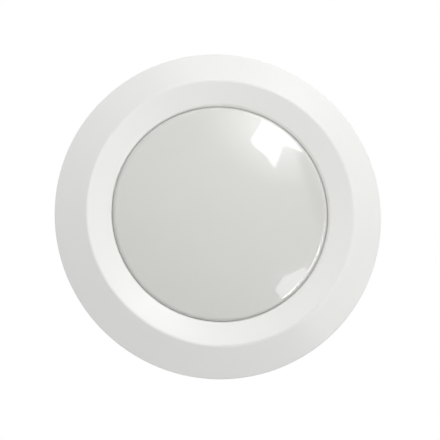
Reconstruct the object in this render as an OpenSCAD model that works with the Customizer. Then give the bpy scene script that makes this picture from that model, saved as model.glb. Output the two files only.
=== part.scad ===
// Round recessed soffit downlight with two sprung clips and a gear box on its back.
// Millimetres. The soffit's outer surface is z = 0, +Z points up into the soffit and light leaves
// towards -Z. The clips stand at +X and -X, and the supply cable enters from -Y.

/* [Body] */
// Diameter of the body that passes through the hole in the soffit
body_d = 156; // [150:1:190]
// Wall of the heat sink's skirt
skirt_wall = 4; // [3.5:0.5:5]
// Thickness of the heat sink's floor
sink_floor = 4; // [3:0.5:6]
// Height of the cooling fins above the floor
fin_h = 17.5; // [8:0.5:18.5]
// Thickness of one cooling fin
fin_t = 1.8; // [1.2:0.1:3]
// Places for fins around the body
fin_count = 36; // [24:4:44]
// Gap between the heat sink's floor and the gear box
gear_gap = 19.5; // [19:0.5:26]

/* [Trim] */
// How far the trim reaches past the body
trim_reach = 17; // [16:0.5:30]
// How far the crest stands inside the body's outside
crest_inset = 1; // [0:0.5:3]
// How far the lens opening stands inside the body's outside
aperture_inset = 15.5; // [14:0.5:20]
// Height of the crest below the soffit
crest_h = 14.5; // [12:0.5:20]
// Height of the lens opening's lip below the soffit
lip_h = 10; // [9:0.5:12]
// Height of the outer edge below the soffit
rim_h = 3; // [2.8:0.1:4]
// Rounding of the crest
crest_round = 2; // [1:0.1:4]
// Rounding of the lip
lip_round = 2.4; // [0.4:0.1:2.5]
// Rounding of the outer edge
rim_round = 0.9; // [0.3:0.1:1]
// Thickness of the lip that carries the lens
lip_t = 2.6; // [1.6:0.1:3]

/* [Lens] */
// Thickness of the lens
lens_t = 1.8; // [1.5:0.1:2.5]
// Rise of the lens's dome
dome_rise = 10; // [6:0.5:14]
// Rounding of the dome's shoulder
shoulder_round = 2.4; // [2:0.1:5]
// Gap between the lens and the lip
lens_gap = 0.7; // [0.5:0.1:1.5]
// Depth of the groove between the lens and the lip
groove_d = 1.3; // [0.6:0.1:1.5]
// Thickness of the lens gasket
gasket_t = 1.2; // [0.8:0.1:2]

/* [Light engine] */
// Distance from the lens's flange to the circuit board
chamber_h = 10.8; // [9:0.2:13]
// Thickness of the aluminium-cored circuit board
led_board_t = 1.6; // [1:0.1:2]
// Thickness of the thermal pad
pad_t = 0.5; // [0.3:0.1:1]
// Distance between the rings of light sources
led_pitch = 15; // [10:0.5:17]

/* [Soffit seal] */
// Thickness of the soffit seal
seal_t = 2; // [1.5:0.1:3]
// How far the seal stands above the trim
seal_proud = 0.8; // [0.4:0.1:1.2]
// Width of the soffit seal
seal_w = 7.5; // [5:0.5:8]

/* [Gear box] */
// Width of the gear box, along X
gear_w = 76; // [74:1:92]
// Length of the gear box, along Y
gear_l = 110; // [108:1:140]
// Height of the gear box without its covers
gear_h = 32; // [31:1:45]
// Wall of the gear box
gear_wall = 2; // [1.6:0.1:3]
// Floor of the gear box
gear_floor = 2.5; // [2:0.1:4]
// Length of the bay for the supply cable's ends
wiring_bay_l = 37; // [37:1:45]
// Thickness of the driver cover and the wiring door
cover_t = 2; // [1.5:0.1:3]
// Radius of the wiring door's hinge pin
door_pin_r = 1.25; // [1:0.05:1.4]

/* [Cable gland] */
// Radius of the gland's bore for the supply cable
cable_r = 4; // [3:0.1:4.4]
// Radius of the gland's thread
gland_r = 8; // [7:0.1:8.4]

/* [Clips] */
// Width of a clip's arm
clip_w = 18; // [16:0.5:19]
// Thickness of the arm's spring steel
arm_t = 1.2; // [0.8:0.1:1.5]
// Length of an arm from its pivot to its foot
arm_l = 26.5; // [24:0.5:30]
// Height of the clip's pivot above the soffit
pivot_h = 29.5; // [29:0.5:34]
// Angle of the arm below level when it rests on its stop
rest_angle = 46; // [40:1:48]
// Radius of the clip's pin
clip_pin_r = 1.5; // [1.2:0.1:1.7]
// Radius of the spring's wire
wire_r = 0.6; // [0.5:0.05:0.7]
// Radius of the spring's coil, to the middle of its wire
coil_r = 3.2; // [3:0.1:3.3]
// Full turns of the spring
coil_turns = 5; // [3:1:6]
// Distance between the spring's turns
coil_pitch = 1.75; // [1.7:0.05:1.9]

/* [Hidden] */
$fn = 96;
play = 0.3;
touch = 0.05;
bore_gap = 0.15;

// Screws: thread radius, hole in the piece that is clamped, head radius and head height
m3_r = 1.5;
m3_hole = 1.7;
m3_head_r = 2.8;
m3_head_h = 2;
m4_r = 2;
m4_hole = 2.3;
m4_head_r = 3.6;
m4_head_h = 2.4;

// Radii, from the body outwards and inwards
body_r = body_d / 2;
trim_r = body_r + trim_reach;
crest_r = body_r - crest_inset;
aperture_r = body_r - aperture_inset;
pocket_r = aperture_r + 6.5;
flange_r = pocket_r - 0.5;
lens_r = aperture_r - lens_gap;
lens_step_r = aperture_r - 0.15;
gasket_inner = aperture_r + 1.2;
gasket_outer = flange_r - 0.5;
board_r = body_r - 10;
pad_r = board_r - 2;
trim_screw_r = body_r - 4.7;
trim_screw_boss = 3.6;
board_screw_r = board_r - 14;
seal_outer = trim_r - 3;
seal_inner = seal_outer - seal_w;
seal_side_gap = 0.2;
body_seal_w = 1.4;
body_seal_r = body_r - 2.4;
body_seal_h = 1;
fin_outer = body_r - 12;
fin_inner = 42;

// Heights, from the soffit upwards and downwards
back_z = -seal_proud;
ledge_z = -lip_h + lip_t;
flange_z = ledge_z + gasket_t;
reflector_z = flange_z + lens_t;
led_z = reflector_z + chamber_h;
board_z = led_z + led_board_t;
sink_z = board_z + pad_t;
floor_z = sink_z + sink_floor;
tray_z = floor_z + gear_gap;
tray_floor_z = tray_z + gear_floor;
tray_top_z = tray_z + gear_h;
cover_top_z = tray_top_z + cover_t;

// Trim
trim_screws_n = 6;
trim_screw_turn = 30;
trim_screw_depth = 8.5;
back_round = 0.4;
core_wall = 3.6;
core_inner = body_r + 1;
core_outer = body_r + 5.5;
core_half_angle = 24;
crest_slope = (crest_h - rim_h) / (trim_r - crest_r);

// Lens: the dome's edge stands a little below the lip
dome_edge_z = -lip_h - 0.6;
lens_step_z = -lip_h + groove_d;
lens_inner_round = max(shoulder_round - lens_t, 0.6);
dome_r = (lens_r * lens_r + dome_rise * dome_rise) / (2 * dome_rise);
dome_centre_z = dome_edge_z - dome_rise + dome_r;

// Light engine
led_rings = 3;
leds_per_ring = 6;
led_size = [3.5, 2.8, 0.8];
lead_x = 1.5;
lead_y = 9;
led_connector_size = [8, 6, 4];
lead_hole_r = 4.5;
board_screws_n = 4;
board_screw_turn = 45;
board_screw_depth = 3.3;
grommet_r = 5;
grommet_lip = 6.5;
grommet_bore = 2.9;

// Gear box, inside
bay_x = gear_w / 2 - gear_wall;
bay_y = gear_l / 2 - gear_wall;
partition_y = -bay_y + wiring_bay_l + 1;
partition_t = 2;
rail = [gear_w - 2 * touch, 6, 4];
corner_r = 6;
cover_boss_r = 3.5;
cover_boss_sink = 0.5;
cover_boss_x = bay_x - cover_boss_r + cover_boss_sink;
cover_screw_l = 10;
standoff_x = 20;
standoff_r = 5.5;
tray_screw_l = 9;

// Driver board and what stands on it
pcb_t = 1.6;
pcb_lift = 4;
pcb_z = tray_floor_z + pcb_lift;
pcb_top = pcb_z + pcb_t;
pcb_x = bay_x - 2;
pcb_y = [partition_y + 3, bay_y - 2];
pcb_spread = (pcb_y[1] - pcb_y[0]) / 63;
pcb_screw_x = 30;
pcb_screw_y = [pcb_y[0] + 10, pcb_y[1] - 11];
pcb_boss_r = 3;
pcb_screw_l = 4.8;
pcb_notch = 6;

// Terminal block
pole_pitch = 8;
poles = [-pole_pitch, 0, pole_pitch];
block = [26, 15, 15.5];
block_y = partition_y - 9 - block[1];
standoff_y = [block_y - 1, 40];
block_ear = [7, 9, 3];
block_screw_x = block[0] / 2 + block_ear[0] / 2;
entry_r = 2;
entry_z = tray_floor_z + 5.5;
exit_z = tray_floor_z + 10.5;
cell = [5.6, 9, 9.5];
cell_z = tray_floor_z + 2.5;
button = [3.4, 4];
button_slot = 0.35;
button_z = cell_z + cell[2] + 0.2;
button_h = 6.3;
button_y = block_y + 5;

// Hinge of the wiring door
hinge_y = partition_y - 1;
hinge_r = 2.6;
hinge_z = tray_top_z + hinge_r + 0.1;
hinge_x = gear_w / 2 - 4;
hinge_lug = 14;
cover_boss_y = [hinge_y + hinge_r + m3_head_r + 0.6, bay_y - cover_boss_r + cover_boss_sink];
door_y = hinge_y - hinge_r - play;
door_z = tray_top_z + play;
catch_x = 24;
catch_w = 10;
catch_t = 1.3;
catch_gap = 0.4;
catch_drop = 7.5;

// Cable gland, measured outwards from the gear box's wall
gland_z = tray_z + 17;
gland_washer_t = 1.5;
gland_hex_af = 20;
gland_hex_end = 6.5;
gland_thread_end = 15;
gland_seat = 8;
gland_in = 8;
gland_nut_af = 21;
gland_nut_from = 7.5;
gland_nut_to = 20.5;
gland_seal_end = 16.8;
gland_nut_lip = 17.2;
gland_bore = cable_r + 0.8;
gland_thread_r = gland_r + 0.6;
gland_seal_r = gland_r - 1.1;
locknut_af = 22;
locknut_t = 4;

// Leads: points chosen by hand, from the terminal block or the driver board
lead_r = 1;
thin_lead_r = 0.8;
lead_bend = 3;
lead_sides = 8;
earth_y = block_y + 5;
earth_boss_r = 5;
earth_boss_h = 3.5;
earth_lug_t = 0.8;
earth_barrel_r = 1.8;
earth_z = floor_z + earth_boss_h + earth_barrel_r;

// Clips: u runs along the arm from the pivot, and v stands square to it, towards the soffit's space
pivot = [body_r - 8.5, pivot_h];
bracket_x = body_r - 18;
lead_in = 1;
bracket_t = 1.5;
bracket_gap = 0.5;
bracket_inside = clip_w / 2 + bracket_gap;
bracket_w = 2 * (bracket_inside + bracket_t);
bracket_pad = [10, bracket_w, pivot_h + 11 - floor_z];
bracket_ear_r = 4.5;
bracket_foot = 1;
bracket_screw_z = [floor_z + 5, pivot_h + 7];
bracket_screw_l = 7.5;
rivet_r = 2.5;
rivet_h = 1.2;
sheet_v = -coil_r - wire_r - 0.2;
under_v = sheet_v - arm_t;
curl_r = 3;
curl_v = under_v + curl_r;
curl_step = 10;
curl_end = 200;
foot_pad_t = 1.2;
arm_ear_r = arm_t / 3 - sheet_v;
ear_inset = 0.4;
ear_end = arm_l - curl_r - 4;
heel = 1.5;
stop_reach = 6;
stop_w = 10;
stop_gap = 0.6;
stop_x = bracket_x + bracket_t + stop_reach;
stop_z = pivot[1] + (under_v - (stop_x - pivot[0]) * sin(rest_angle)) / cos(rest_angle) - stop_gap;

// ---- Shapes that repeat ----

function unit(v) = v / norm(v);
function side_angle(a, b, c) = acos(unit(a - b) * unit(c - b)) / 2;
function arc_centre(a, b, c, r) = b + unit(unit(a - b) + unit(c - b)) * r / sin(side_angle(a, b, c));
function arc_end(a, b, c, r) = b + unit(a - b) * r / tan(side_angle(a, b, c));
function before(list, i) = list[(i + len(list) - 1) % len(list)];
function after(list, i) = list[(i + 1) % len(list)];

// Outline through corners, each rounded by its own radius
module rounded_outline(corners, radii) {
    difference() {
        polygon(corners);
        for (i = [0 : len(corners) - 1]) {
            if (radii[i] > 0) rounding_waste(before(corners, i), corners[i], after(corners, i), radii[i]);
        }
    }
}

// What a rounding takes off the corner b between a and c
module rounding_waste(a, b, c, r) {
    centre = arc_centre(a, b, c, r);
    corner_waste(centre, r, arc_end(a, b, c, r) - centre, arc_end(c, b, a, r) - centre);
}

// The wedge between two radii, outside the circle of radius r about the centre
module corner_waste(centre, r, from, to) {
    past = 1.6;
    bisector = unit(from + to);
    middle = bisector * r * r / (from * bisector);
    difference() {
        polygon([centre, centre + past * from, centre + past * middle, centre + past * to]);
        translate(centre) circle(r);
    }
}

module ring(inner_r, outer_r, h) {
    difference() {
        cylinder(r = outer_r, h = h);
        translate([0, 0, -1]) cylinder(r = inner_r, h = h + 2);
    }
}

module box(x, y, z) {
    translate([x[0], y[0], z[0]]) cube([x[1] - x[0], y[1] - y[0], z[1] - z[0]]);
}

module rounded_plate(size, r, h) {
    linear_extrude(h) {
        square([size[0] - 2 * r, size[1]], center = true);
        square([size[0], size[1] - 2 * r], center = true);
        for (x = [-1, 1], y = [-1, 1]) {
            translate([x * (size[0] / 2 - r), y * (size[1] / 2 - r)]) circle(r);
        }
    }
}

module hexagon(across, h) {
    cylinder(r = across / sqrt(3), h = h, $fn = 6);
}

// Pan-head screw with a cross recess: the head's seat is z = 0 and the shank points down
module screw(r, length, head_r, head_h) {
    crown = 1.6 * head_r;
    recess = 0.45 * head_h;
    difference() {
        union() {
            intersection() {
                cylinder(r = head_r, h = head_h);
                translate([0, 0, head_h - crown]) sphere(r = crown);
            }
            translate([0, 0, -length]) cylinder(r = r, h = length + touch);
        }
        for (turn = [0, 90]) {
            rotate([0, 0, turn]) {
                translate([-0.6 * head_r, -0.13 * head_r, head_h - recess]) {
                    cube([1.2 * head_r, 0.26 * head_r, head_h]);
                }
            }
        }
    }
}

module m3_screw(length) {
    screw(m3_r, length, m3_head_r, m3_head_h);
}

module m4_screw(length) {
    screw(m4_r, length, m4_head_r, m4_head_h);
}

module around(count, turn = 0) {
    for (i = [0 : count - 1]) rotate([0, 0, turn + i * 360 / count]) children();
}

module right_and_left() {
    children();
    rotate([0, 0, 180]) children();
}

// Points of a route whose corners are rounded, and a tube swept along such points
function corner_points(a, b, c, bend) =
    let (d = min(bend, norm(a - b) / 2, norm(c - b) / 2), p = b + unit(a - b) * d, q = b + unit(c - b) * d)
    [for (t = [0 : 0.25 : 1]) (1 - t) * (1 - t) * p + 2 * t * (1 - t) * b + t * t * q];
function soft_route(route, bend) = [
    route[0],
    for (i = [1 : len(route) - 2]) each corner_points(route[i - 1], route[i], route[i + 1], bend),
    route[len(route) - 1]
];
function direction(path, i) = unit(path[min(i + 1, len(path) - 1)] - path[max(i - 1, 0)]);
function square_to(v, t) = unit(v - (v * t) * t);

module tube(path, r, sides, start_side) {
    last = len(path) - 1;
    normals = [for (i = 0, n = square_to(start_side, direction(path, 0)); i <= last;
        i = i + 1, n = i <= last ? square_to(n, direction(path, i)) : n) n];
    points = [for (i = [0 : last], k = [0 : sides - 1])
        path[i] + r * (cos(360 * k / sides) * normals[i]
            + sin(360 * k / sides) * cross(direction(path, i), normals[i]))];
    walls = [for (i = [0 : last - 1], k = [0 : sides - 1])
        let (a = i * sides + k, b = i * sides + (k + 1) % sides)
        each [[a, a + sides, b], [b, a + sides, b + sides]]];
    start_cap = [for (k = [1 : sides - 2]) [0, k, k + 1]];
    end_cap = [for (k = [1 : sides - 2]) [last * sides, last * sides + k + 1, last * sides + k]];
    polyhedron(points, concat(walls, start_cap, end_cap));
}

module lead(route, r, start_side) {
    tube(soft_route(route, lead_bend), r, lead_sides, start_side);
}

// ---- Trim, seal and lens ----

module trim_ring() color([0.93, 0.925, 0.915]) {
    corners = [[trim_r, back_z], [trim_r, -rim_h], [crest_r, -crest_h], [aperture_r, -lip_h],
        [aperture_r, ledge_z], [pocket_r, ledge_z], [pocket_r, back_z],
        [seal_inner - seal_side_gap, back_z], [seal_inner - seal_side_gap, -seal_t],
        [seal_outer + seal_side_gap, -seal_t], [seal_outer + seal_side_gap, back_z]];
    radii = [back_round, rim_round, crest_round, min(lip_round, lip_t - 0.1), 0, 0, 0, 0, 0, 0, 0];
    core_z = -crest_h + core_wall + (core_outer - crest_r) * crest_slope;
    difference() {
        rotate_extrude() rounded_outline(corners, radii);
        around(trim_screws_n, trim_screw_turn) {
            translate([trim_screw_r, 0, back_z - trim_screw_depth]) {
                cylinder(r = m3_r + touch, h = trim_screw_depth + 1);
            }
        }
        around(trim_screws_n) {
            rotate([0, 0, -core_half_angle]) rotate_extrude(angle = 2 * core_half_angle) {
                polygon([[core_inner, back_z + 1], [core_inner, -crest_h + core_wall + 1],
                    [core_outer, core_z + 1], [core_outer, back_z + 1]]);
            }
        }
    }
}

module soffit_seal() color([0.16, 0.16, 0.17]) {
    translate([0, 0, -seal_t]) ring(seal_inner, seal_outer, seal_t);
}

// Half section of a domed body of revolution with a rounded shoulder
module dome_section(r, sphere_r, round_r, top) {
    shoulder_x = r - round_r;
    shoulder_z = dome_centre_z - sqrt(pow(sphere_r - round_r, 2) - shoulder_x * shoulder_x);
    shoulder = [shoulder_x, shoulder_z];
    difference() {
        intersection() {
            translate([0, dome_centre_z]) circle(sphere_r);
            translate([0, dome_centre_z - sphere_r - 1]) square([r, top - dome_centre_z + sphere_r + 1]);
        }
        corner_waste(shoulder, round_r, [round_r, 0], round_r * unit(shoulder - [0, dome_centre_z]));
    }
}

module lens() color([0.86, 0.855, 0.845]) {
    difference() {
        union() {
            rotate_extrude() dome_section(lens_r, dome_r, shoulder_round, reflector_z);
            translate([0, 0, flange_z]) cylinder(r = flange_r, h = lens_t);
            // Locating step that centres the lens in the opening and floors the groove round it
            translate([0, 0, lens_step_z]) ring(lens_r - 0.6, lens_step_r, flange_z + 0.4 - lens_step_z);
        }
        rotate_extrude() {
            dome_section(lens_r - lens_t, dome_r - lens_t, lens_inner_round, reflector_z + 1);
        }
    }
}

module lens_gasket() color([0.75, 0.75, 0.74]) {
    translate([0, 0, ledge_z]) ring(gasket_inner, gasket_outer, gasket_t);
}

// ---- Light engine ----

module reflector() color([0.95, 0.95, 0.95]) {
    sheet = 0.8;
    rotate_extrude() polygon([[gasket_inner, reflector_z], [flange_r, reflector_z],
        [flange_r, reflector_z + sheet], [gasket_inner + sheet, reflector_z + sheet],
        [board_screw_r + 7.2, led_z], [board_screw_r + 6.2, led_z]]);
}

module led_board() color([0.94, 0.94, 0.93]) {
    difference() {
        translate([0, 0, led_z]) cylinder(r = board_r, h = led_board_t);
        translate([0, lead_y, led_z - 1]) cylinder(r = lead_hole_r, h = led_board_t + 2);
        around(board_screws_n, board_screw_turn) {
            translate([board_screw_r, 0, led_z - 1]) cylinder(r = m3_hole, h = led_board_t + 2);
        }
    }
}

module led_packages() color([0.93, 0.78, 0.35]) {
    for (k = [1 : led_rings]) {
        around(leds_per_ring * k) {
            translate([board_screw_r - 7 - (led_rings - k) * led_pitch, 0, led_z - led_size[2] / 2]) {
                cube(led_size, center = true);
            }
        }
    }
}

module led_connector() color([0.9, 0.88, 0.8]) {
    size = led_connector_size;
    socket = [2.6, 3, 2.6];
    translate([0, 0, led_z - size[2] / 2]) difference() {
        cube(size, center = true);
        for (side = [-1, 1]) {
            translate([side * lead_x, -size[1] / 2, 0]) cube(socket, center = true);
        }
    }
}

module board_screws() color([0.8, 0.8, 0.82]) {
    around(board_screws_n, board_screw_turn) {
        translate([board_screw_r, 0, led_z]) {
            rotate([180, 0, 0]) m3_screw(led_board_t + pad_t + board_screw_depth);
        }
    }
}

module thermal_pad() color([0.6, 0.66, 0.72]) {
    difference() {
        translate([0, 0, board_z]) cylinder(r = pad_r, h = pad_t);
        translate([0, lead_y, board_z - 1]) cylinder(r = grommet_lip + play, h = pad_t + 2);
        around(board_screws_n, board_screw_turn) {
            translate([board_screw_r, 0, board_z - 1]) cylinder(r = m3_hole, h = pad_t + 2);
        }
    }
}

// ---- Heat sink ----

module heat_sink() color([0.72, 0.73, 0.74]) {
    difference() {
        heat_sink_casting();
        heat_sink_holes();
    }
}

module heat_sink_casting() {
    fin_from = ceil(fin_count * 20 / 360);
    translate([0, 0, sink_z]) cylinder(r = body_r, h = sink_floor - lead_in);
    translate([0, 0, floor_z - lead_in]) cylinder(r1 = body_r, r2 = body_r - lead_in, h = lead_in);
    translate([0, 0, back_z]) ring(body_r - skirt_wall, body_r, sink_z - back_z + 1);
    around(trim_screws_n, trim_screw_turn) {
        translate([trim_screw_r, 0, back_z]) cylinder(r = trim_screw_boss, h = sink_z - back_z + 1);
    }
    difference() {
        for (i = [fin_from : fin_count / 2 - fin_from], side = [0, 180]) {
            rotate([0, 0, side + i * 360 / fin_count]) {
                translate([fin_inner, -fin_t / 2, floor_z - 1]) {
                    cube([fin_outer - fin_inner, fin_t, fin_h + 1]);
                }
            }
        }
        hull() for (y = [earth_y, 0]) {
            translate([pole_pitch, y, floor_z - 0.5]) cylinder(r = earth_boss_r + 2, h = fin_h + 1);
        }
    }
    right_and_left() {
        translate([bracket_x - bracket_pad[0], -bracket_w / 2, floor_z - 1]) {
            cube([bracket_pad[0], bracket_w, bracket_pad[2] + 1]);
        }
    }
    at_standoffs() translate([0, 0, floor_z - 1]) cylinder(r = standoff_r, h = gear_gap + 1);
    translate([pole_pitch, earth_y, floor_z - 1]) cylinder(r = earth_boss_r, h = earth_boss_h + 1);
}

module at_standoffs() {
    for (x = [-1, 1], y = standoff_y) translate([x * standoff_x, y, 0]) children();
}

module heat_sink_holes() {
    around(trim_screws_n, trim_screw_turn) {
        translate([trim_screw_r, 0, back_z - 1]) cylinder(r = m3_hole, h = floor_z - back_z + 2);
    }
    around(board_screws_n, board_screw_turn) {
        translate([board_screw_r, 0, sink_z - 1]) cylinder(r = m3_r + touch, h = board_screw_depth + 1.2);
    }
    right_and_left() {
        for (z = bracket_screw_z) {
            translate([bracket_x + 1, 0, z]) {
                rotate([0, -90, 0]) cylinder(r = m3_r + touch, h = bracket_screw_l);
            }
        }
    }
    at_standoffs() {
        translate([0, 0, tray_z - tray_screw_l]) cylinder(r = m4_r + touch, h = tray_screw_l + 1);
    }
    translate([pole_pitch, earth_y, floor_z - 1]) cylinder(r = m4_r + touch, h = earth_boss_h + 2);
    translate([0, lead_y, sink_z - 1]) cylinder(r = grommet_r, h = sink_floor + 2);
    translate([0, 0, back_z]) {
        translate([0, 0, -1]) {
            ring(body_seal_r - touch, body_seal_r + body_seal_w + touch, body_seal_h + 1);
        }
    }
}

module body_seal() color([0.6, 0.3, 0.2]) {
    translate([0, 0, back_z]) ring(body_seal_r, body_seal_r + body_seal_w, body_seal_h);
}

module trim_screws() color([0.8, 0.8, 0.82]) {
    around(trim_screws_n, trim_screw_turn) {
        translate([trim_screw_r, 0, floor_z]) m3_screw(floor_z - back_z + trim_screw_depth - 1);
    }
}

module lead_grommet() color([0.14, 0.14, 0.15]) {
    lip = 0.8;
    translate([0, lead_y, 0]) difference() {
        union() {
            translate([0, 0, sink_z]) cylinder(r = grommet_r, h = sink_floor);
            translate([0, 0, floor_z]) cylinder(r = grommet_lip, h = lip);
        }
        translate([0, 0, sink_z - 1]) cylinder(r = grommet_bore, h = sink_floor + 3);
    }
}

// ---- Gear box ----

module gear_tray() color([0.88, 0.88, 0.87]) {
    difference() {
        union() {
            difference() {
                translate([0, 0, tray_z]) rounded_plate([gear_w, gear_l], corner_r, gear_h);
                translate([0, 0, tray_floor_z]) {
                    rounded_plate([2 * bay_x, 2 * bay_y], corner_r - gear_wall, gear_h);
                }
            }
            translate([-gear_w / 2 + touch, partition_y - partition_t / 2, tray_floor_z - 1]) {
                cube([gear_w - 2 * touch, partition_t, gear_h - gear_floor + 1]);
            }
            translate([-rail[0] / 2, partition_y - rail[1] / 2, tray_top_z - rail[2]]) cube(rail);
            at_cover_screws() translate([0, 0, tray_floor_z - 1]) {
                cylinder(r = cover_boss_r, h = tray_top_z - tray_floor_z + 1);
            }
            for (side = [-1, 1]) translate([side * cover_boss_x, 0, 0]) {
                box([-cover_boss_r / 2, cover_boss_r / 2], [partition_y, cover_boss_y[0]],
                    [tray_floor_z - 1, tray_top_z]);
            }
            at_pcb_screws() translate([0, 0, tray_floor_z - 1]) cylinder(r = pcb_boss_r, h = pcb_lift + 1);
            right_and_left_lug() hinge_lug();
            for (side = [-1, 1]) {
                translate([side * catch_x - catch_w / 2, -gear_l / 2 - 0.25, tray_top_z - 4]) {
                    cube([catch_w, 1, 1.2]);
                }
            }
        }
        gear_tray_holes();
    }
}

module at_cover_screws() {
    for (x = [-1, 1], y = cover_boss_y) translate([x * cover_boss_x, y, 0]) children();
}

module at_pcb_screws() {
    for (x = [-1, 1], y = pcb_screw_y) translate([x * pcb_screw_x, y, 0]) children();
}

module at_block_screws() {
    for (x = [-1, 1]) translate([x * block_screw_x, block_y + block[1] / 2, 0]) children();
}

module right_and_left_lug() {
    for (x = [-hinge_x, hinge_x - hinge_lug]) translate([x, hinge_y, hinge_z]) children();
}

// Round rod or hole along the wiring door's hinge, as far as half_length each side of the middle
module on_hinge(half_length, r) {
    translate([-half_length, hinge_y, hinge_z]) rotate([0, 90, 0]) cylinder(r = r, h = 2 * half_length);
}

module hinge_lug() {
    rotate([0, 90, 0]) cylinder(r = hinge_r, h = hinge_lug);
    box([0, hinge_lug], [-hinge_r / 2, hinge_r / 2], [tray_top_z - 1 - hinge_z, 0]);
}

module gear_tray_holes() {
    window = [4 * lead_r + pole_pitch, 4.4];
    at_cover_screws() {
        translate([0, 0, tray_top_z - cover_screw_l]) cylinder(r = m3_r + touch, h = cover_screw_l + 1);
    }
    at_pcb_screws() translate([0, 0, tray_floor_z - 1]) cylinder(r = m3_r + touch, h = pcb_lift + 2);
    at_block_screws() translate([0, 0, tray_z - 1]) cylinder(r = m3_r + touch, h = gear_floor + 2);
    at_standoffs() translate([0, 0, tray_z - 1]) cylinder(r = m4_hole, h = gear_floor + 2);
    translate([0, lead_y, tray_z - 1]) cylinder(r = lead_hole_r, h = gear_floor + 2);
    translate([pole_pitch, earth_drop_y(), tray_z - 1]) cylinder(r = 2.5 * lead_r, h = gear_floor + 2);
    translate([-pole_pitch - 2 * lead_r, partition_y - partition_t, exit_z - window[1] / 2]) {
        cube([window[0], 2 * partition_t, window[1]]);
    }
    translate([0, 1 - bay_y, gland_z]) rotate([90, 0, 0]) cylinder(r = gland_r + touch, h = gear_wall + 2);
    on_hinge(gear_w, door_pin_r);
}

function earth_drop_y() = block_y + block[1] + 4;

module tray_screws() color([0.8, 0.8, 0.82]) {
    at_standoffs() translate([0, 0, tray_floor_z]) m4_screw(gear_floor + tray_screw_l - 1);
}

module driver_cover() color([0.88, 0.88, 0.87]) {
    edge_y = partition_y + 2.1;
    tongue_t = 1.6;
    tongue_drop = 3;
    tongue_y = [cover_boss_y[0] + 6, cover_boss_y[1] - 6];
    slots = 7;
    slot = [30, 2.4];
    slot_step = 5;
    centre_y = (edge_y + gear_l / 2) / 2;
    difference() {
        union() {
            intersection() {
                translate([0, 0, tray_top_z]) rounded_plate([gear_w, gear_l], corner_r, cover_t);
                box([-gear_w, gear_w], [edge_y, gear_l], [tray_top_z - 1, cover_top_z + 1]);
            }
            for (x = [-bay_x + play, bay_x - play - tongue_t]) {
                box([x, x + tongue_t], tongue_y, [tray_top_z - tongue_drop, tray_top_z + 1]);
            }
        }
        at_cover_screws() translate([0, 0, tray_top_z - 1]) cylinder(r = m3_hole, h = cover_t + 2);
        for (k = [0 : slots - 1]) {
            translate([0, centre_y + (k - (slots - 1) / 2) * slot_step, tray_top_z - 1]) {
                rounded_plate(slot, slot[1] / 2 - touch, cover_t + 2);
            }
        }
    }
}

module cover_screws() color([0.8, 0.8, 0.82]) {
    at_cover_screws() translate([0, 0, cover_top_z]) m3_screw(cover_t + cover_screw_l - 1);
}

// ---- Driver ----

module driver_board() color([0.1, 0.38, 0.2]) {
    difference() {
        box([-pcb_x, pcb_x], pcb_y, [pcb_z, pcb_top]);
        at_pcb_screws() translate([0, 0, pcb_z - 1]) cylinder(r = m3_hole, h = pcb_t + 2);
        for (x = [-pcb_x - 1, pcb_x - pcb_notch], y = [pcb_y[0] - 1, pcb_y[1] - pcb_notch]) {
            translate([x, y, pcb_z - 1]) cube([pcb_notch + 1, pcb_notch + 1, pcb_t + 2]);
        }
    }
}

module gear_screws() color([0.8, 0.8, 0.82]) {
    at_pcb_screws() translate([0, 0, pcb_top]) m3_screw(pcb_screw_l);
    at_block_screws() translate([0, 0, tray_floor_z + block_ear[2]]) m3_screw(pcb_screw_l);
}

// Places are given for a board 63 long, and spread with its length
module on_board(x, y) {
    translate([x, pcb_y[0] + y * pcb_spread, pcb_top]) children();
}

core = [24, 12, 16];
core_leg = 4;
window_z = [3, 13];

module transformer_core() color([0.22, 0.22, 0.24]) {
    on_board(9, 34) difference() {
        translate([-core[0] / 2, -core[1] / 2, 0]) cube(core);
        for (x = [[-8.5, -core_leg], [core_leg, 8.5]]) box(x, [-core[1], core[1]], window_z);
    }
}

module transformer_winding() color([0.85, 0.7, 0.2]) {
    clear = 0.15;
    leg_y = core[1] / 2 + clear;
    on_board(9, 34) {
        difference() {
            box([-8.5 + clear, 8.5 - clear], [-10, 10], [window_z[0] + clear, window_z[1] - clear]);
            box([-core_leg - clear, core_leg + clear], [-leg_y, leg_y], [0, core[2]]);
        }
        for (y = [[-10, -7], [7, 10]]) box([-8, 8], y, [0, window_z[0] + 1]);
    }
}

module bulk_capacitor() color([0.15, 0.2, 0.35]) {
    on_board(-18, 38) can(8, 20);
}

module output_capacitor() color([0.15, 0.2, 0.35]) {
    on_board(20, 56) can(5, 16);
}

// Wound capacitor: a sleeve with a rolled groove near its foot and a dished top
module can(r, h) {
    rotate_extrude() difference() {
        rounded_outline([[0, 0], [r, 0], [r, h], [0, h]], [0, 0.8, 0.8, 0]);
        translate([r + 0.4, 3]) circle(0.9);
        translate([0, h - 0.4]) square([r - 1.6, 1]);
    }
}

module mains_choke() color([0.75, 0.42, 0.2]) {
    on_board(-17, 16) {
        translate([-8.5, -8.5, 0]) cube([17, 17, 2]);
        translate([0, 0, 5]) rotate_extrude() translate([5.2, 0]) circle(3.2);
    }
}

module input_fuse() color([0.85, 0.83, 0.78]) {
    on_board(10, 6) {
        translate([-5, 0, 3]) rotate([0, 90, 0]) cylinder(r = 2.6, h = 10);
        for (x = [-5.6, 4.4]) translate([x, -1.5, 0]) cube([1.2, 3, 3]);
    }
}

module surge_varistor() color([0.15, 0.3, 0.6]) {
    on_board(-20, 3.5) {
        translate([0, 2, 6]) rotate([90, 0, 0]) cylinder(r = 5, h = 4);
        for (x = [-2.5, 2.5]) translate([x, 0, 0]) cylinder(r = 0.4, h = 3);
    }
}

module bridge_rectifier() color([0.12, 0.12, 0.13]) {
    on_board(2, 16) translate([-4.5, -3.5, 0]) cube([9, 7, 3]);
}

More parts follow.
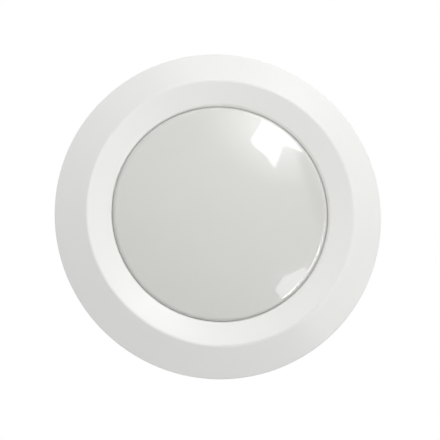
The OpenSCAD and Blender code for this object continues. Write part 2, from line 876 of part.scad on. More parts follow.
module controller_chip() color([0.12, 0.12, 0.13]) {
    on_board(14, 17) {
        translate([-3, -2, 0.2]) cube([6, 4, 1.4]);
        for (x = [-2.2 : 1.1 : 2.2], y = [-3, 1.9]) translate([x - 0.2, y, 0]) cube([0.4, 1.1, 0.5]);
    }
}

module switching_transistor() color([0.5, 0.5, 0.52]) {
    on_board(27, 24) {
        translate([-5, -1.5, 2]) cube([10, 4, 9]);
        translate([-5, 2, 2]) cube([10, 1.2, 15]);
        for (x = [-2.5, 0, 2.5]) translate([x - 0.4, 0, 0]) cube([0.8, 0.6, 3]);
    }
}

// ---- Terminal block ----

module terminal_block() color([0.92, 0.92, 0.9]) {
    ear_y = block_y + (block[1] - block_ear[1]) / 2;
    difference() {
        union() {
            translate([-block[0] / 2, block_y, tray_floor_z]) cube(block);
            box([-block[0] / 2 - block_ear[0], block[0] / 2 + block_ear[0]], [ear_y, ear_y + block_ear[1]],
                [tray_floor_z, tray_floor_z + block_ear[2]]);
        }
        at_block_screws() translate([0, 0, tray_floor_z - 1]) cylinder(r = m3_hole, h = block_ear[2] + 2);
        for (x = poles) translate([x, 0, 0]) pole_hollow();
    }
}

module pole_hollow() {
    translate([0, block_y + 4, entry_z]) rotate([90, 0, 0]) cylinder(r = entry_r, h = 5);
    translate([-cell[0] / 2, block_y + 3, cell_z]) cube(cell);
    translate([-button[0] / 2 - button_slot, button_y - button_slot, cell_z + 1]) {
        cube([button[0] + 2 * button_slot, button[1] + 2 * button_slot, block[2]]);
    }
}

// Current bar with a bent cage and a spring leaf behind each entry
module terminal_clamps() color([0.8, 0.62, 0.3]) {
    sheet = 0.6;
    for (x = poles) {
        translate([x - 2.2, block_y + 3.2, cell_z]) {
            cube([4.4, 8.4, sheet]);
            translate([0, 8.4 - sheet, 0]) cube([4.4, sheet, 7]);
            translate([0, 3, 6.4]) cube([4.4, 5.4, sheet]);
            translate([0, 3, 2.6]) cube([4.4, sheet, 4.4]);
        }
    }
}

module release_button(x) {
    translate([x - button[0] / 2, button_y, button_z]) difference() {
        cube([button[0], button[1], button_h]);
        translate([-1, button[1] / 2 - 0.4, button_h - 0.8]) cube([button[0] + 2, 0.8, 1]);
    }
}

module release_button_live() color([0.45, 0.27, 0.15]) release_button(poles[0]);
module release_button_neutral() color([0.2, 0.4, 0.75]) release_button(poles[1]);
module release_button_earth() color([0.3, 0.6, 0.25]) release_button(poles[2]);

// ---- Cable gland: z runs outwards from the gear box's wall ----

module at_gland() {
    translate([0, -gear_l / 2, gland_z]) rotate([90, 0, 0]) children();
}

module gland_body() color([0.2, 0.2, 0.21]) {
    at_gland() difference() {
        union() {
            translate([0, 0, -gland_in]) cylinder(r = gland_r, h = gland_in + gland_washer_t + 1);
            translate([0, 0, gland_washer_t]) hexagon(gland_hex_af, gland_hex_end - gland_washer_t);
            translate([0, 0, gland_washer_t + 1]) {
                cylinder(r = gland_thread_r, h = gland_thread_end - gland_washer_t - 1);
            }
        }
        translate([0, 0, -gland_in - 1]) cylinder(r = gland_bore, h = gland_thread_end + gland_in + 2);
        translate([0, 0, gland_seat]) cylinder(r = gland_seal_r + touch, h = gland_thread_end);
    }
}

module gland_washer() color([0.1, 0.1, 0.1]) {
    at_gland() ring(gland_r + touch, gland_hex_af / 2, gland_washer_t);
}

module gland_seal() color([0.12, 0.12, 0.13]) {
    at_gland() translate([0, 0, gland_seat]) ring(cable_r, gland_seal_r, gland_seal_end - gland_seat);
}

module gland_nut() color([0.2, 0.2, 0.21]) {
    cone_from = 15;
    end_r = 7.5;
    at_gland() difference() {
        union() {
            translate([0, 0, gland_nut_from]) hexagon(gland_nut_af, cone_from - gland_nut_from);
            translate([0, 0, cone_from - touch]) {
                cylinder(r1 = gland_nut_af / 2, r2 = end_r, h = gland_nut_to - cone_from + touch);
            }
        }
        translate([0, 0, gland_nut_from - 1]) {
            cylinder(r = gland_thread_r + touch, h = gland_thread_end + 0.2 - gland_nut_from + 1);
        }
        translate([0, 0, gland_seat]) cylinder(r = gland_seal_r + touch, h = gland_nut_lip - gland_seat);
        translate([0, 0, gland_thread_end]) cylinder(r = gland_bore, h = gland_nut_to);
    }
}

module gland_locknut() color([0.2, 0.2, 0.21]) {
    at_gland() translate([0, 0, -gear_wall - locknut_t]) difference() {
        hexagon(locknut_af, locknut_t);
        translate([0, 0, -1]) cylinder(r = gland_r + touch, h = locknut_t + 2);
    }
}

// ---- Leads ----

// From a pole of the terminal block through the partition, down onto the driver board
module supply_lead(x) {
    end_y = pcb_y[0] + 4;
    lead([[x, block_y + block[1], exit_z], [x, end_y, exit_z], [x, end_y, pcb_top]], lead_r, [1, 0, 0]);
}

module lead_live() color([0.45, 0.27, 0.15]) supply_lead(poles[0]);
module lead_neutral() color([0.2, 0.4, 0.75]) supply_lead(poles[1]);

module lead_earth() color([0.4, 0.65, 0.25]) {
    y = earth_drop_y();
    lead([[pole_pitch, block_y + block[1], exit_z], [pole_pitch, y, exit_z], [pole_pitch, y, earth_z],
        [pole_pitch, earth_y + 8, earth_z]], lead_r, [1, 0, 0]);
}

// From the driver board's underside through the grommet, to the connector on the light engine
module light_lead(x) {
    z = led_z - led_connector_size[2] / 2;
    lead([[x, lead_y, pcb_z], [x, lead_y, z], [x, led_connector_size[1] / 2, z]], thin_lead_r, [1, 0, 0]);
}

module lead_positive() color([0.75, 0.15, 0.12]) light_lead(lead_x);
module lead_negative() color([0.12, 0.12, 0.12]) light_lead(-lead_x);

module earth_lug() color([0.8, 0.78, 0.7]) {
    translate([pole_pitch, earth_y, floor_z + earth_boss_h]) difference() {
        union() {
            cylinder(r = 4, h = earth_lug_t);
            translate([-1.5, 2, 0]) cube([3, 4.5, earth_lug_t]);
            translate([0, 4.5, earth_barrel_r]) rotate([-90, 0, 0]) cylinder(r = earth_barrel_r, h = 3.5);
        }
        translate([0, 0, -1]) cylinder(r = m4_r + touch, h = 4);
    }
}

module earth_screw() color([0.8, 0.8, 0.82]) {
    translate([pole_pitch, earth_y, floor_z + earth_boss_h + earth_lug_t]) {
        m4_screw(earth_lug_t + earth_boss_h);
    }
}

// ---- Wiring door ----

module wiring_door() color([0.88, 0.88, 0.87]) {
    door_lug = hinge_x - hinge_lug - play;
    difference() {
        union() {
            intersection() {
                translate([0, 0, door_z]) rounded_plate([gear_w, gear_l], corner_r, cover_t);
                box([-gear_w, gear_w], [-gear_l, door_y], [door_z - 1, door_z + cover_t + 1]);
            }
            box([-door_lug, door_lug], [door_y - 1, hinge_y], [door_z, door_z + cover_t]);
            on_hinge(door_lug, hinge_r);
            for (side = [-1, 1]) translate([side * catch_x, -gear_l / 2 - catch_gap, 0]) door_catch();
        }
        on_hinge(gear_w, door_pin_r + bore_gap);
    }
}

// Finger catch: a lip outside the wall, whose bead lies just below the wall's own bead
module door_catch() {
    box([-catch_w / 2, catch_w / 2], [-catch_t, 0], [door_z - catch_drop, door_z + cover_t]);
    box([-catch_w / 2, catch_w / 2], [-catch_t, catch_gap + 1], [door_z, door_z + cover_t]);
    box([-catch_w / 2, catch_w / 2], [-catch_t, 0.3], [door_z - catch_drop, door_z - catch_drop + 1.2]);
}

module door_pin() color([0.8, 0.8, 0.82]) {
    on_hinge(hinge_x, door_pin_r);
}

// ---- Clips, drawn for the +X side ----

// Turns children drawn in the arm's u and v into the clip's place, extruded along Y
module along_arm(width) {
    translate([pivot[0], width / 2, pivot[1]]) {
        rotate([90, 0, 0]) rotate([0, 0, -rest_angle]) linear_extrude(width) children();
    }
}

// Round rod or hole along the clip's pivot
module pivot_rod(r, length) {
    translate([pivot[0], length / 2, pivot[1]]) rotate([90, 0, 0]) cylinder(r = r, h = length);
}

module clip_bracket() {
    plate_z = floor_z + bracket_foot;
    plate_h = bracket_pad[2] - bracket_foot;
    difference() {
        union() {
            translate([bracket_x, -bracket_w / 2, plate_z]) cube([bracket_t, bracket_w, plate_h]);
            for (y = [-bracket_w / 2, bracket_inside]) {
                translate([0, y + bracket_t, 0]) bracket_ear();
            }
            box([bracket_x, stop_x], [-stop_w / 2, stop_w / 2], [stop_z - bracket_t, stop_z]);
        }
        pivot_rod(clip_pin_r, 2 * bracket_w);
        for (z = bracket_screw_z) {
            translate([bracket_x - 1, 0, z]) rotate([0, 90, 0]) cylinder(r = m3_hole, h = bracket_t + 2);
        }
    }
}

module bracket_ear() {
    root_x = bracket_x + bracket_t / 2;
    root_h = 8;
    translate([pivot[0], 0, pivot[1]]) rotate([90, 0, 0]) cylinder(r = bracket_ear_r, h = bracket_t);
    rotate([90, 0, 0]) linear_extrude(bracket_t) {
        polygon([[root_x, pivot[1] - root_h], [pivot[0], pivot[1] - bracket_ear_r],
            [pivot[0], pivot[1] + bracket_ear_r], [root_x, pivot[1] + root_h]]);
    }
}

module clip_pin() {
    pivot_rod(clip_pin_r, bracket_w);
    for (y = [-bracket_w / 2, bracket_w / 2 + rivet_h]) {
        translate([pivot[0], y, pivot[1]]) rotate([90, 0, 0]) cylinder(r = rivet_r, h = rivet_h);
    }
}

module clip_arm() {
    difference() {
        union() {
            along_arm(clip_w) arm_sheet();
            for (side = [-1, 1]) {
                translate([0, side * (clip_w / 2 - ear_inset - arm_t / 2), 0]) arm_ear();
            }
        }
        pivot_rod(clip_pin_r + bore_gap, 2 * clip_w);
    }
}

// The sheet runs straight from its heel, then curls back over itself at the foot
function on_curl(r, turn) = [arm_l + r * cos(turn), curl_v + r * sin(turn)];
module arm_sheet() {
    polygon(concat(
        [[-heel, under_v]],
        [for (turn = [-90 : curl_step : curl_end]) on_curl(curl_r, turn)],
        [for (turn = [curl_end : -curl_step : -90]) on_curl(curl_r - arm_t, turn)],
        [[-heel, sheet_v]]));
}

module arm_ear() {
    shoulder = 0.6 * arm_ear_r;
    root_v = sheet_v - 2 * arm_t / 3;
    along_arm(arm_t) circle(arm_ear_r);
    along_arm(arm_t) polygon([[0, root_v], [ear_end, root_v], [ear_end, sheet_v], [shoulder, shoulder]]);
}

// Rubber sleeve around the curl, open where the sheet runs in
module clip_pad() {
    outer = curl_r + foot_pad_t;
    along_arm(clip_w) difference() {
        translate([arm_l, curl_v]) circle(outer);
        translate([arm_l, curl_v]) circle(curl_r + touch);
        translate([arm_l - 2 * outer, under_v - 2]) square([2 * outer, arm_t + 2 + touch]);
    }
}

// Torsion spring: one leg bears on the bracket and the other lies on the arm
leg_out = 8;
leg_arm = 11;
leg_angle = 35;
rings_per_turn = 8;
coil_start = 180 + leg_angle;
coil_sweep = coil_turns * 360 + (270 - rest_angle) - coil_start;
coil_rings = ceil(coil_sweep * rings_per_turn / 360);
coil_length = coil_pitch * coil_sweep / 360;

function coil_point(s) =
    let (turn = coil_start + s * coil_sweep)
    [pivot[0] + coil_r * cos(turn), (s - 0.5) * coil_length, pivot[1] + coil_r * sin(turn)];
function leg_point(s, reach) =
    let (turn = coil_start + s * coil_sweep, ahead = s > 0 ? reach : -reach)
    coil_point(s) + ahead * [-sin(turn), 0, cos(turn)];
spring_path = concat([leg_point(0, leg_out), leg_point(0, 2 * wire_r)],
    [for (i = [0 : coil_rings]) coil_point(i / coil_rings)],
    [leg_point(1, 2 * wire_r), leg_point(1, leg_arm)]);
spring_last = len(spring_path) - 1;
spring_gap = min([for (i = [0 : spring_last], j = [i + rings_per_turn - 2 : 1 : spring_last])
    norm(spring_path[i] - spring_path[j])]) - 2 * wire_r;
echo("least gap between the turns of a clip spring", spring_gap);

module clip_spring() {
    tube(spring_path, wire_r, 6, [0, 1, 0]);
}

module clip_bracket_right() color([0.75, 0.76, 0.78]) clip_bracket();
module clip_bracket_left() color([0.75, 0.76, 0.78]) rotate([0, 0, 180]) clip_bracket();

module bracket_screws() color([0.8, 0.8, 0.82]) {
    right_and_left() {
        for (z = bracket_screw_z) {
            translate([bracket_x + bracket_t, 0, z]) rotate([0, 90, 0]) m3_screw(bracket_screw_l);
        }
    }
}

module clip_pins() color([0.7, 0.71, 0.73]) right_and_left() clip_pin();
module clip_spring_right() color([0.6, 0.61, 0.63]) clip_spring();
module clip_spring_left() color([0.6, 0.61, 0.63]) rotate([0, 0, 180]) clip_spring();
module clip_arm_right() color([0.72, 0.73, 0.75]) clip_arm();
module clip_arm_left() color([0.72, 0.73, 0.75]) rotate([0, 0, 180]) clip_arm();
module clip_pad_right() color([0.12, 0.12, 0.13]) clip_pad();
module clip_pad_left() color([0.12, 0.12, 0.13]) rotate([0, 0, 180]) clip_pad();

trim_ring();
soffit_seal();
lens();
lens_gasket();
reflector();
led_board();
led_packages();
led_connector();
board_screws();
thermal_pad();
heat_sink();
body_seal();
trim_screws();
lead_grommet();
gear_tray();
tray_screws();
driver_board();
gear_screws();
transformer_core();
transformer_winding();
bulk_capacitor();
output_capacitor();
mains_choke();
input_fuse();
surge_varistor();
bridge_rectifier();
controller_chip();
switching_transistor();
driver_cover();
cover_screws();
terminal_block();
terminal_clamps();
release_button_live();
release_button_neutral();
release_button_earth();
gland_body();
gland_washer();
gland_seal();
gland_nut();
gland_locknut();
lead_live();
lead_neutral();
lead_earth();
lead_positive();
lead_negative();
earth_lug();
earth_screw();
wiring_door();
door_pin();
clip_bracket_right();
clip_bracket_left();
bracket_screws();
clip_pins();
clip_spring_right();
clip_spring_left();
clip_arm_right();
clip_arm_left();
clip_pad_right();
clip_pad_left();
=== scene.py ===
"""A round soffit downlight seen from below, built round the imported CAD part."""

import math

import bmesh
import bpy
from mathutils import Matrix, Vector


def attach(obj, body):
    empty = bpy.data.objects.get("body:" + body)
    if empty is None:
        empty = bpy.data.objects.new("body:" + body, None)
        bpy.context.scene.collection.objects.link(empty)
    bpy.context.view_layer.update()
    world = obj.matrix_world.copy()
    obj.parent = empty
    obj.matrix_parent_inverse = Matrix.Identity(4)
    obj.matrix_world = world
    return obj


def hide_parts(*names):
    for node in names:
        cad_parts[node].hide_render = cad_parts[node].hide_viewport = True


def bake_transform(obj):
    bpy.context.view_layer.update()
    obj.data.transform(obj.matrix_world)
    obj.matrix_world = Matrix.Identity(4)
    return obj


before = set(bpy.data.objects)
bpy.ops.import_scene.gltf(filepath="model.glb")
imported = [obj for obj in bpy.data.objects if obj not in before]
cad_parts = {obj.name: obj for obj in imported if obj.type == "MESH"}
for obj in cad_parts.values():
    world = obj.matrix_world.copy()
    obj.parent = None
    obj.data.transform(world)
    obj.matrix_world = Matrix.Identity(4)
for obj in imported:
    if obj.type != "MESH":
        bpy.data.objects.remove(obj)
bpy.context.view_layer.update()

MM = 0.001
PICTURE_PX = 440

# ---- the camera

RIM_RADIUS = 95 * MM
RIM_Z = -3 * MM
# Where the rim lands in the picture, and how large it is there
RIM_CENTRE_PX = (219.49, 214.67)
RIM_PX = 164.15
LENS_MM = 150
SENSOR_MM = 36
# The camera stands below the soffit, a little to the picture's lower left
CAMERA_SIDEWAYS = -0.11
CAMERA_DOWN = 0.145


def place_camera():
    """Aims a long lens so that the rim lands on its place in the picture."""
    data = bpy.data.cameras.new("camera")
    data.lens = LENS_MM
    data.sensor_width = SENSOR_MM
    data.clip_end = 20
    camera = bpy.data.objects.new("camera", data)
    bpy.context.scene.collection.objects.link(camera)
    px_per_tan = PICTURE_PX * LENS_MM / SENSOR_MM
    distance = RIM_RADIUS * px_per_tan / RIM_PX
    away = Vector((CAMERA_SIDEWAYS, CAMERA_DOWN, -1)).normalized()
    camera.location = Vector((0, 0, RIM_Z)) + away * distance
    forward = -away
    right = forward.cross(Vector((0, -1, 0))).normalized()
    up = right.cross(forward).normalized()
    turn = Matrix((right, up, -forward)).transposed()
    off_x = (RIM_CENTRE_PX[0] - PICTURE_PX / 2) / px_per_tan
    off_y = (PICTURE_PX / 2 - RIM_CENTRE_PX[1]) / px_per_tan
    turn = turn @ Matrix.Rotation(off_x, 3, "Y") @ Matrix.Rotation(-off_y, 3, "X")
    camera.rotation_mode = "QUATERNION"
    camera.rotation_quaternion = turn.to_quaternion()
    bpy.context.scene.camera = camera


place_camera()

# ---- small helpers


def linear(code):
    """Turns an sRGB hex colour into the linear RGBA that a socket takes."""
    parts = [int(code[i:i + 2], 16) / 255 for i in (1, 3, 5)]
    return [c / 12.92 if c <= 0.04045 else ((c + 0.055) / 1.055) ** 2.4 for c in parts] + [1.0]


# What makes a Mix node mix colours
COLOURS = {"data_type": "RGBA"}
# Noise keeps mostly between these two values
NOISE_SPREAD = {"i1": 0.3, "i2": 0.7}


def add_node(tree, kind, settings=None, **sockets):
    """Adds a node, sets its properties, then sets or links its inputs: Base_Color, or i6 for input 6.
    Settings that are one word name its operation, and a node as a value stands for its first output."""
    node = tree.nodes.new(kind)
    if isinstance(settings, str):
        settings = {"operation": settings}
    for name, value in (settings or {}).items():
        setattr(node, name, value)
    for name, value in sockets.items():
        key = int(name[1:]) if name[0] == "i" and name[1:].isdigit() else name.replace("_", " ")
        if isinstance(value, bpy.types.Node):
            value = value.outputs[0]
        if isinstance(value, bpy.types.NodeSocket):
            tree.links.new(value, node.inputs[key])
        else:
            node.inputs[key].default_value = value
    return node


def new_material(name):
    """A node material with nothing in it yet, and its tree."""
    made = bpy.data.materials.new(name)
    made.use_nodes = True
    made.node_tree.nodes.clear()
    return made, made.node_tree


# ---- room and light

FLOOR_Z = -1.6
FLOOR_HALF = 8.0
# How much of its own white the floor shows to the camera and in gloss
FLOOR_GLOW, FLOOR_IN_GLOSS = 0.42, 0.22
PANEL_Z = -1.2
WORLD_LIGHT = 0.56
KEY_LIGHT = 7.2
FILL_LIGHT = 3.6
EDGE_LIGHT = 6.4
HAZE_LIGHT = 2.9
WINDOW_LIGHT = 13.0
SIDE_LAMP = 3.6
TOP_LAMP = 1.2
NEAR_LAMP = 0.22
BACK_LAMP = 9.0

# Outlines of the lamps' fronts, in mm on the plane PANEL_Z: the dome mirrors them as its highlights
KEY_OUTLINE = [(438, -918), (463, -820), (576, -741), (603, -660), (645, -618), (709, -726),
               (804, -924), (854, -950), (1030, -891), (1092, -965), (1400, -1250), (1000, -1600),
               (674, -1307), (540, -1089)]
FILL_OUTLINE = [(653, 509), (694, 429), (737, 362), (800, 360), (873, 343), (949, 297), (1017, 331),
                (1099, 288), (1160, 340), (800, 660)]
HAZE_OUTLINE = [(-100, -1800), (1500, -1800), (1500, -300), (-100, -300)]
EDGE_OUTLINE = [(1250, 330), (1700, 600), (1300, 1100), (850, 760)]
WINDOW_OUTLINE = [(1450, 150), (3300, 300), (2400, 2200), (1080, 980)]
FLAG_OUTLINE = [(930, -875), (2000, -875), (2000, 270), (930, 270)]
# How a panel fades with the distance from a point: x, y, near, far in mm, and what is left beyond far
KEY_FADE = (900, -1150, 330, 620, 0.62)
HAZE_FADE = (690, -1080, 200, 680, 0.0)
FLAG_FADE = (3000, -900, 1960, 2080, 0.0)
NO_FADE = (0, 0, 1, 2, 1.0)


def stage_face(name, points, z):
    """A flat face, looking up, that isn't part of the object. Points are in metres."""
    if sum(a[0] * b[1] - b[0] * a[1] for a, b in zip(points, points[1:] + points[:1])) < 0:
        points = points[::-1]
    mesh = bpy.data.meshes.new(name)
    mesh.from_pydata([(x, y, z) for x, y in points], [], [tuple(range(len(points)))])
    face = bpy.data.objects.new(name, mesh)
    bpy.context.scene.collection.objects.link(face)
    return face


def light_panel(name, outline, strength, fade=NO_FADE, drop=0, glossy_only=False):
    """The front of a lamp: it shines upwards, and the camera and its back see through it."""
    panel = stage_face(name, [(x * MM, y * MM) for x, y in outline], PANEL_Z - drop * MM)
    x, y, near, far, left = fade
    glow, tree = new_material(name)
    path = add_node(tree, "ShaderNodeLightPath")
    clear = add_node(tree, "ShaderNodeBsdfTransparent")
    light = add_node(tree, "ShaderNodeEmission", Strength=strength)
    side = add_node(tree, "ShaderNodeNewGeometry")
    reach = add_node(tree, "ShaderNodeVectorMath", "DISTANCE", i0=side.outputs["Position"],
                     i1=(x * MM, y * MM, PANEL_Z))
    full = add_node(tree, "ShaderNodeMapRange", i0=reach.outputs["Value"], i1=near * MM, i2=far * MM,
                    i3=1.0, i4=left)
    hidden = path.outputs["Is Camera Ray"]
    if glossy_only:
        hidden = add_node(tree, "ShaderNodeMath", "SUBTRACT", i0=1.0, i1=path.outputs["Is Glossy Ray"])
    gone = add_node(tree, "ShaderNodeMath", "MAXIMUM", i0=hidden, i1=side.outputs["Backfacing"])
    shown = add_node(tree, "ShaderNodeMath", {"operation": "SUBTRACT", "use_clamp": True}, i0=full, i1=gone)
    front = add_node(tree, "ShaderNodeMixShader", i0=shown, i1=clear, i2=light)
    add_node(tree, "ShaderNodeOutputMaterial", Surface=front)
    panel.data.materials.append(glow)


def build_floor():
    """A matt white floor far below: a little of its white shows to the camera by itself."""
    corners = [(FLOOR_HALF * x, FLOOR_HALF * y) for x, y in ((-1, -1), (1, -1), (1, 1), (-1, 1))]
    floor = stage_face("floor", corners, FLOOR_Z)
    paint, tree = new_material("matt floor paint")
    path = add_node(tree, "ShaderNodeLightPath")
    gloss = add_node(tree, "ShaderNodeMath", "MULTIPLY", i0=path.outputs["Is Glossy Ray"],
                     i1=FLOOR_IN_GLOSS)
    lift = add_node(tree, "ShaderNodeMath", "MULTIPLY_ADD", i0=path.outputs["Is Camera Ray"], i1=FLOOR_GLOW,
                    i2=gloss)
    matt = add_node(tree, "ShaderNodeBsdfDiffuse", Color=linear("#ECECEB"))
    white = add_node(tree, "ShaderNodeEmission", Color=linear("#FFFFFF"), Strength=lift)
    both = add_node(tree, "ShaderNodeAddShader", i0=matt, i1=white)
    add_node(tree, "ShaderNodeOutputMaterial", Surface=both)
    floor.data.materials.append(paint)


def build_world():
    """White to the camera, in gloss and through glass; dimmer as a lamp."""
    world = bpy.data.worlds.new("studio")
    bpy.context.scene.world = world
    world.use_nodes = True
    tree = world.node_tree
    tree.nodes.clear()
    path = add_node(tree, "ShaderNodeLightPath")
    straight = add_node(tree, "ShaderNodeMath", "MAXIMUM", i0=path.outputs["Is Camera Ray"],
                        i1=path.outputs["Is Transmission Ray"])
    seen = add_node(tree, "ShaderNodeMath", "MAXIMUM", i0=straight, i1=path.outputs["Is Glossy Ray"])
    dim = add_node(tree, "ShaderNodeBackground", Color=linear("#FFFFFF"), Strength=WORLD_LIGHT)
    white = add_node(tree, "ShaderNodeBackground", Color=linear("#FFFFFF"), Strength=1.0)
    mix = add_node(tree, "ShaderNodeMixShader", i0=seen, i1=dim, i2=white)
    add_node(tree, "ShaderNodeOutputWorld", Surface=mix)


def softbox(name, turn, tilt, distance, size, power, mirrored=True):
    """A square softbox: turn is its side in the picture, tilt its angle from straight below, in degrees."""
    data = bpy.data.lights.new(name, "AREA")
    data.shape = "SQUARE"
    data.size = size
    data.energy = power
    lamp = bpy.data.objects.new(name, data)
    turn, tilt = math.radians(turn), math.radians(tilt)
    lamp.location = distance * Vector((math.sin(tilt) * math.cos(turn), -math.sin(tilt) * math.sin(turn),
                                       -math.cos(tilt)))
    lamp.rotation_mode = "QUATERNION"
    lamp.rotation_quaternion = (-lamp.location).to_track_quat("-Z", "Y")
    lamp.visible_camera = False
    lamp.visible_glossy = mirrored
    bpy.context.scene.collection.objects.link(lamp)


build_world()
build_floor()
light_panel("key panel", KEY_OUTLINE, KEY_LIGHT, KEY_FADE)
light_panel("fill panel", FILL_OUTLINE, FILL_LIGHT)
light_panel("edge panel", EDGE_OUTLINE, EDGE_LIGHT)
light_panel("haze round the key panel", HAZE_OUTLINE, HAZE_LIGHT, HAZE_FADE, 5, True)
light_panel("low window", WINDOW_OUTLINE, WINDOW_LIGHT, drop=4, glossy_only=True)
light_panel("dark flag", FLAG_OUTLINE, 0.0, FLAG_FADE, 3, True)
softbox("side softbox", 60, 65, 1.5, 0.6, SIDE_LAMP)
softbox("top softbox", 90, 70, 1.5, 0.6, TOP_LAMP)
softbox("near softbox", 180, 25, 0.4, 0.25, NEAR_LAMP, False)
softbox("back softbox", 60, 143, 1.45, 1.3, BACK_LAMP)
bpy.context.scene.view_settings.view_transform = "Standard"


# ---- finishes


def new_finish(name):
    """A material, its tree, and the place on the object that its patterns follow, in metres."""
    finish, tree = new_material(name)
    return finish, tree, add_node(tree, "ShaderNodeTexCoord").outputs["Object"]


def shade(finish, **sockets):
    """Ends a material in its shader, and gives it back."""
    shader = add_node(finish.node_tree, "ShaderNodeBsdfPrincipled", **sockets)
    add_node(finish.node_tree, "ShaderNodeOutputMaterial", Surface=shader)
    return finish


def per_mm(size):
    """The scale of a pattern whose features are this many mm across."""
    return 1 / (size * MM)


def clouds(tree, place, size_mm, detail, pale, deep):
    """Noise in clouds of this size, and the colour that goes with it from pale to deep."""
    cloud = add_node(tree, "ShaderNodeTexNoise", Vector=place, Scale=per_mm(size_mm), Detail=detail)
    colour = add_node(tree, "ShaderNodeMix", COLOURS, i0=cloud, i6=linear(pale), i7=linear(deep))
    return cloud, colour.outputs[2]


def relief(tree, grain, low, high, depth_mm):
    """What a grain does to a surface: its roughness, from low to high, and its bumps."""
    rough = add_node(tree, "ShaderNodeMapRange", i0=grain, **NOISE_SPREAD, i3=low, i4=high)
    return rough, add_node(tree, "ShaderNodeBump", Distance=depth_mm * MM, Height=grain)


def powder_coat():
    """Satin polyester powder on die-cast aluminium: even warm white, soft gloss, faint orange peel."""
    finish, tree, place = new_finish("satin white powder coat")
    colour = clouds(tree, place, 30, 2.0, "#F2F2F0", "#EFEFED")[1]
    # Orange peel has waves 1.5 to 3 mm long and a few micrometres high
    peel = add_node(tree, "ShaderNodeTexNoise", Vector=place, Scale=per_mm(2.4), Detail=1.0)
    speck = add_node(tree, "ShaderNodeTexNoise", Vector=place, Scale=per_mm(0.35), Detail=2.0)
    rough, fine = relief(tree, speck, 0.27, 0.35, 0.002)
    bump = add_node(tree, "ShaderNodeBump", Distance=0.006 * MM, Height=peel, Normal=fine)
    return shade(finish, Base_Color=colour, Roughness=rough, IOR=1.5, Normal=bump)


def opal_polycarbonate():
    """Injection-moulded opal polycarbonate, polished tool: a mirror-like skin over a milky body that
    takes light in and blurs it, so highlights are crisp with a soft glow round them."""
    finish, tree, place = new_finish("glossy opal polycarbonate")
    cloud, colour = clouds(tree, place, 40, 1.0, "#DFDFDC", "#DCDCD9")
    # Flow waves left by the moulding, 12 mm long and under a micrometre high
    wave = add_node(tree, "ShaderNodeTexNoise", Vector=place, Scale=per_mm(12), Detail=1.0)
    bump = add_node(tree, "ShaderNodeBump", Distance=0.004 * MM, Height=wave)
    skin = add_node(tree, "ShaderNodeMapRange", i0=cloud, i3=0.26, i4=0.32)
    return shade(finish, Base_Color=colour, Roughness=skin, IOR=1.58, Specular_IOR_Level=0.2,
                 Coat_Weight=1.0, Coat_Roughness=0.015, Coat_IOR=1.58, Subsurface_Weight=0.3,
                 Subsurface_Radius=(1.0, 1.0, 0.95), Subsurface_Scale=5 * MM, Normal=bump, Coat_Normal=bump)


def moulded(name, pale, deep, roughness, grain_mm, depth_mm, ior=1.53, cloud_mm=18):
    """Moulded plastic or rubber: the tool's spark-eroded grain, and faint clouds in its colour."""
    finish, tree, place = new_finish(name)
    colour = clouds(tree, place, cloud_mm, 2.0, pale, deep)[1]
    grain = add_node(tree, "ShaderNodeTexNoise", Vector=place, Scale=per_mm(grain_mm), Detail=3.0)
    rough, bump = relief(tree, grain, roughness - 0.06, roughness + 0.06, depth_mm)
    return shade(finish, Base_Color=colour, Roughness=rough, IOR=ior, Normal=bump)


def bare_metal(name, pale, deep, roughness, patch_mm, grain_mm, depth_mm, grain_along=(1, 1, 1)):
    """Metal with its own skin: patches of tone, and a grain that may be drawn out one way."""
    finish, tree, place = new_finish(name)
    colour = clouds(tree, place, patch_mm, 3.0, pale, deep)[1]
    drawn = add_node(tree, "ShaderNodeMapping", Vector=place, Scale=grain_along)
    grain = add_node(tree, "ShaderNodeTexNoise", Vector=drawn, Scale=per_mm(grain_mm), Detail=3.0)
    rough, bump = relief(tree, grain, roughness - 0.08, roughness + 0.08, depth_mm)
    return shade(finish, Base_Color=colour, Metallic=1.0, Roughness=rough, Normal=bump)


def cast_aluminium():
    """Die-cast aluminium, shot-blasted: a dull pale grey with fine pits and darker flow marks."""
    finish, tree, place = new_finish("blasted cast aluminium")
    flow = add_node(tree, "ShaderNodeTexNoise", Vector=place, Scale=per_mm(25), Detail=4.0, Distortion=0.6)
    tone = add_node(tree, "ShaderNodeMix", COLOURS, i0=flow, i6=linear("#D3D4D5"), i7=linear("#A9ABAD"))
    # Blasting leaves dents about 0.4 mm across; drawn at 0.6 mm so that they show
    dents = add_node(tree, "ShaderNodeTexVoronoi", {"feature": "SMOOTH_F1"}, Vector=place,
                     Scale=per_mm(0.6))
    grit = add_node(tree, "ShaderNodeTexNoise", Vector=place, Scale=per_mm(0.3), Detail=3.0)
    rough = add_node(tree, "ShaderNodeMapRange", i0=flow, **NOISE_SPREAD, i3=0.42, i4=0.58)
    fine = add_node(tree, "ShaderNodeBump", Distance=0.02 * MM, Height=grit)
    bump = add_node(tree, "ShaderNodeBump", Distance=0.05 * MM, Height=dents, Normal=fine)
    return shade(finish, Base_Color=tone.outputs[2], Metallic=1.0, Roughness=rough, Normal=bump)


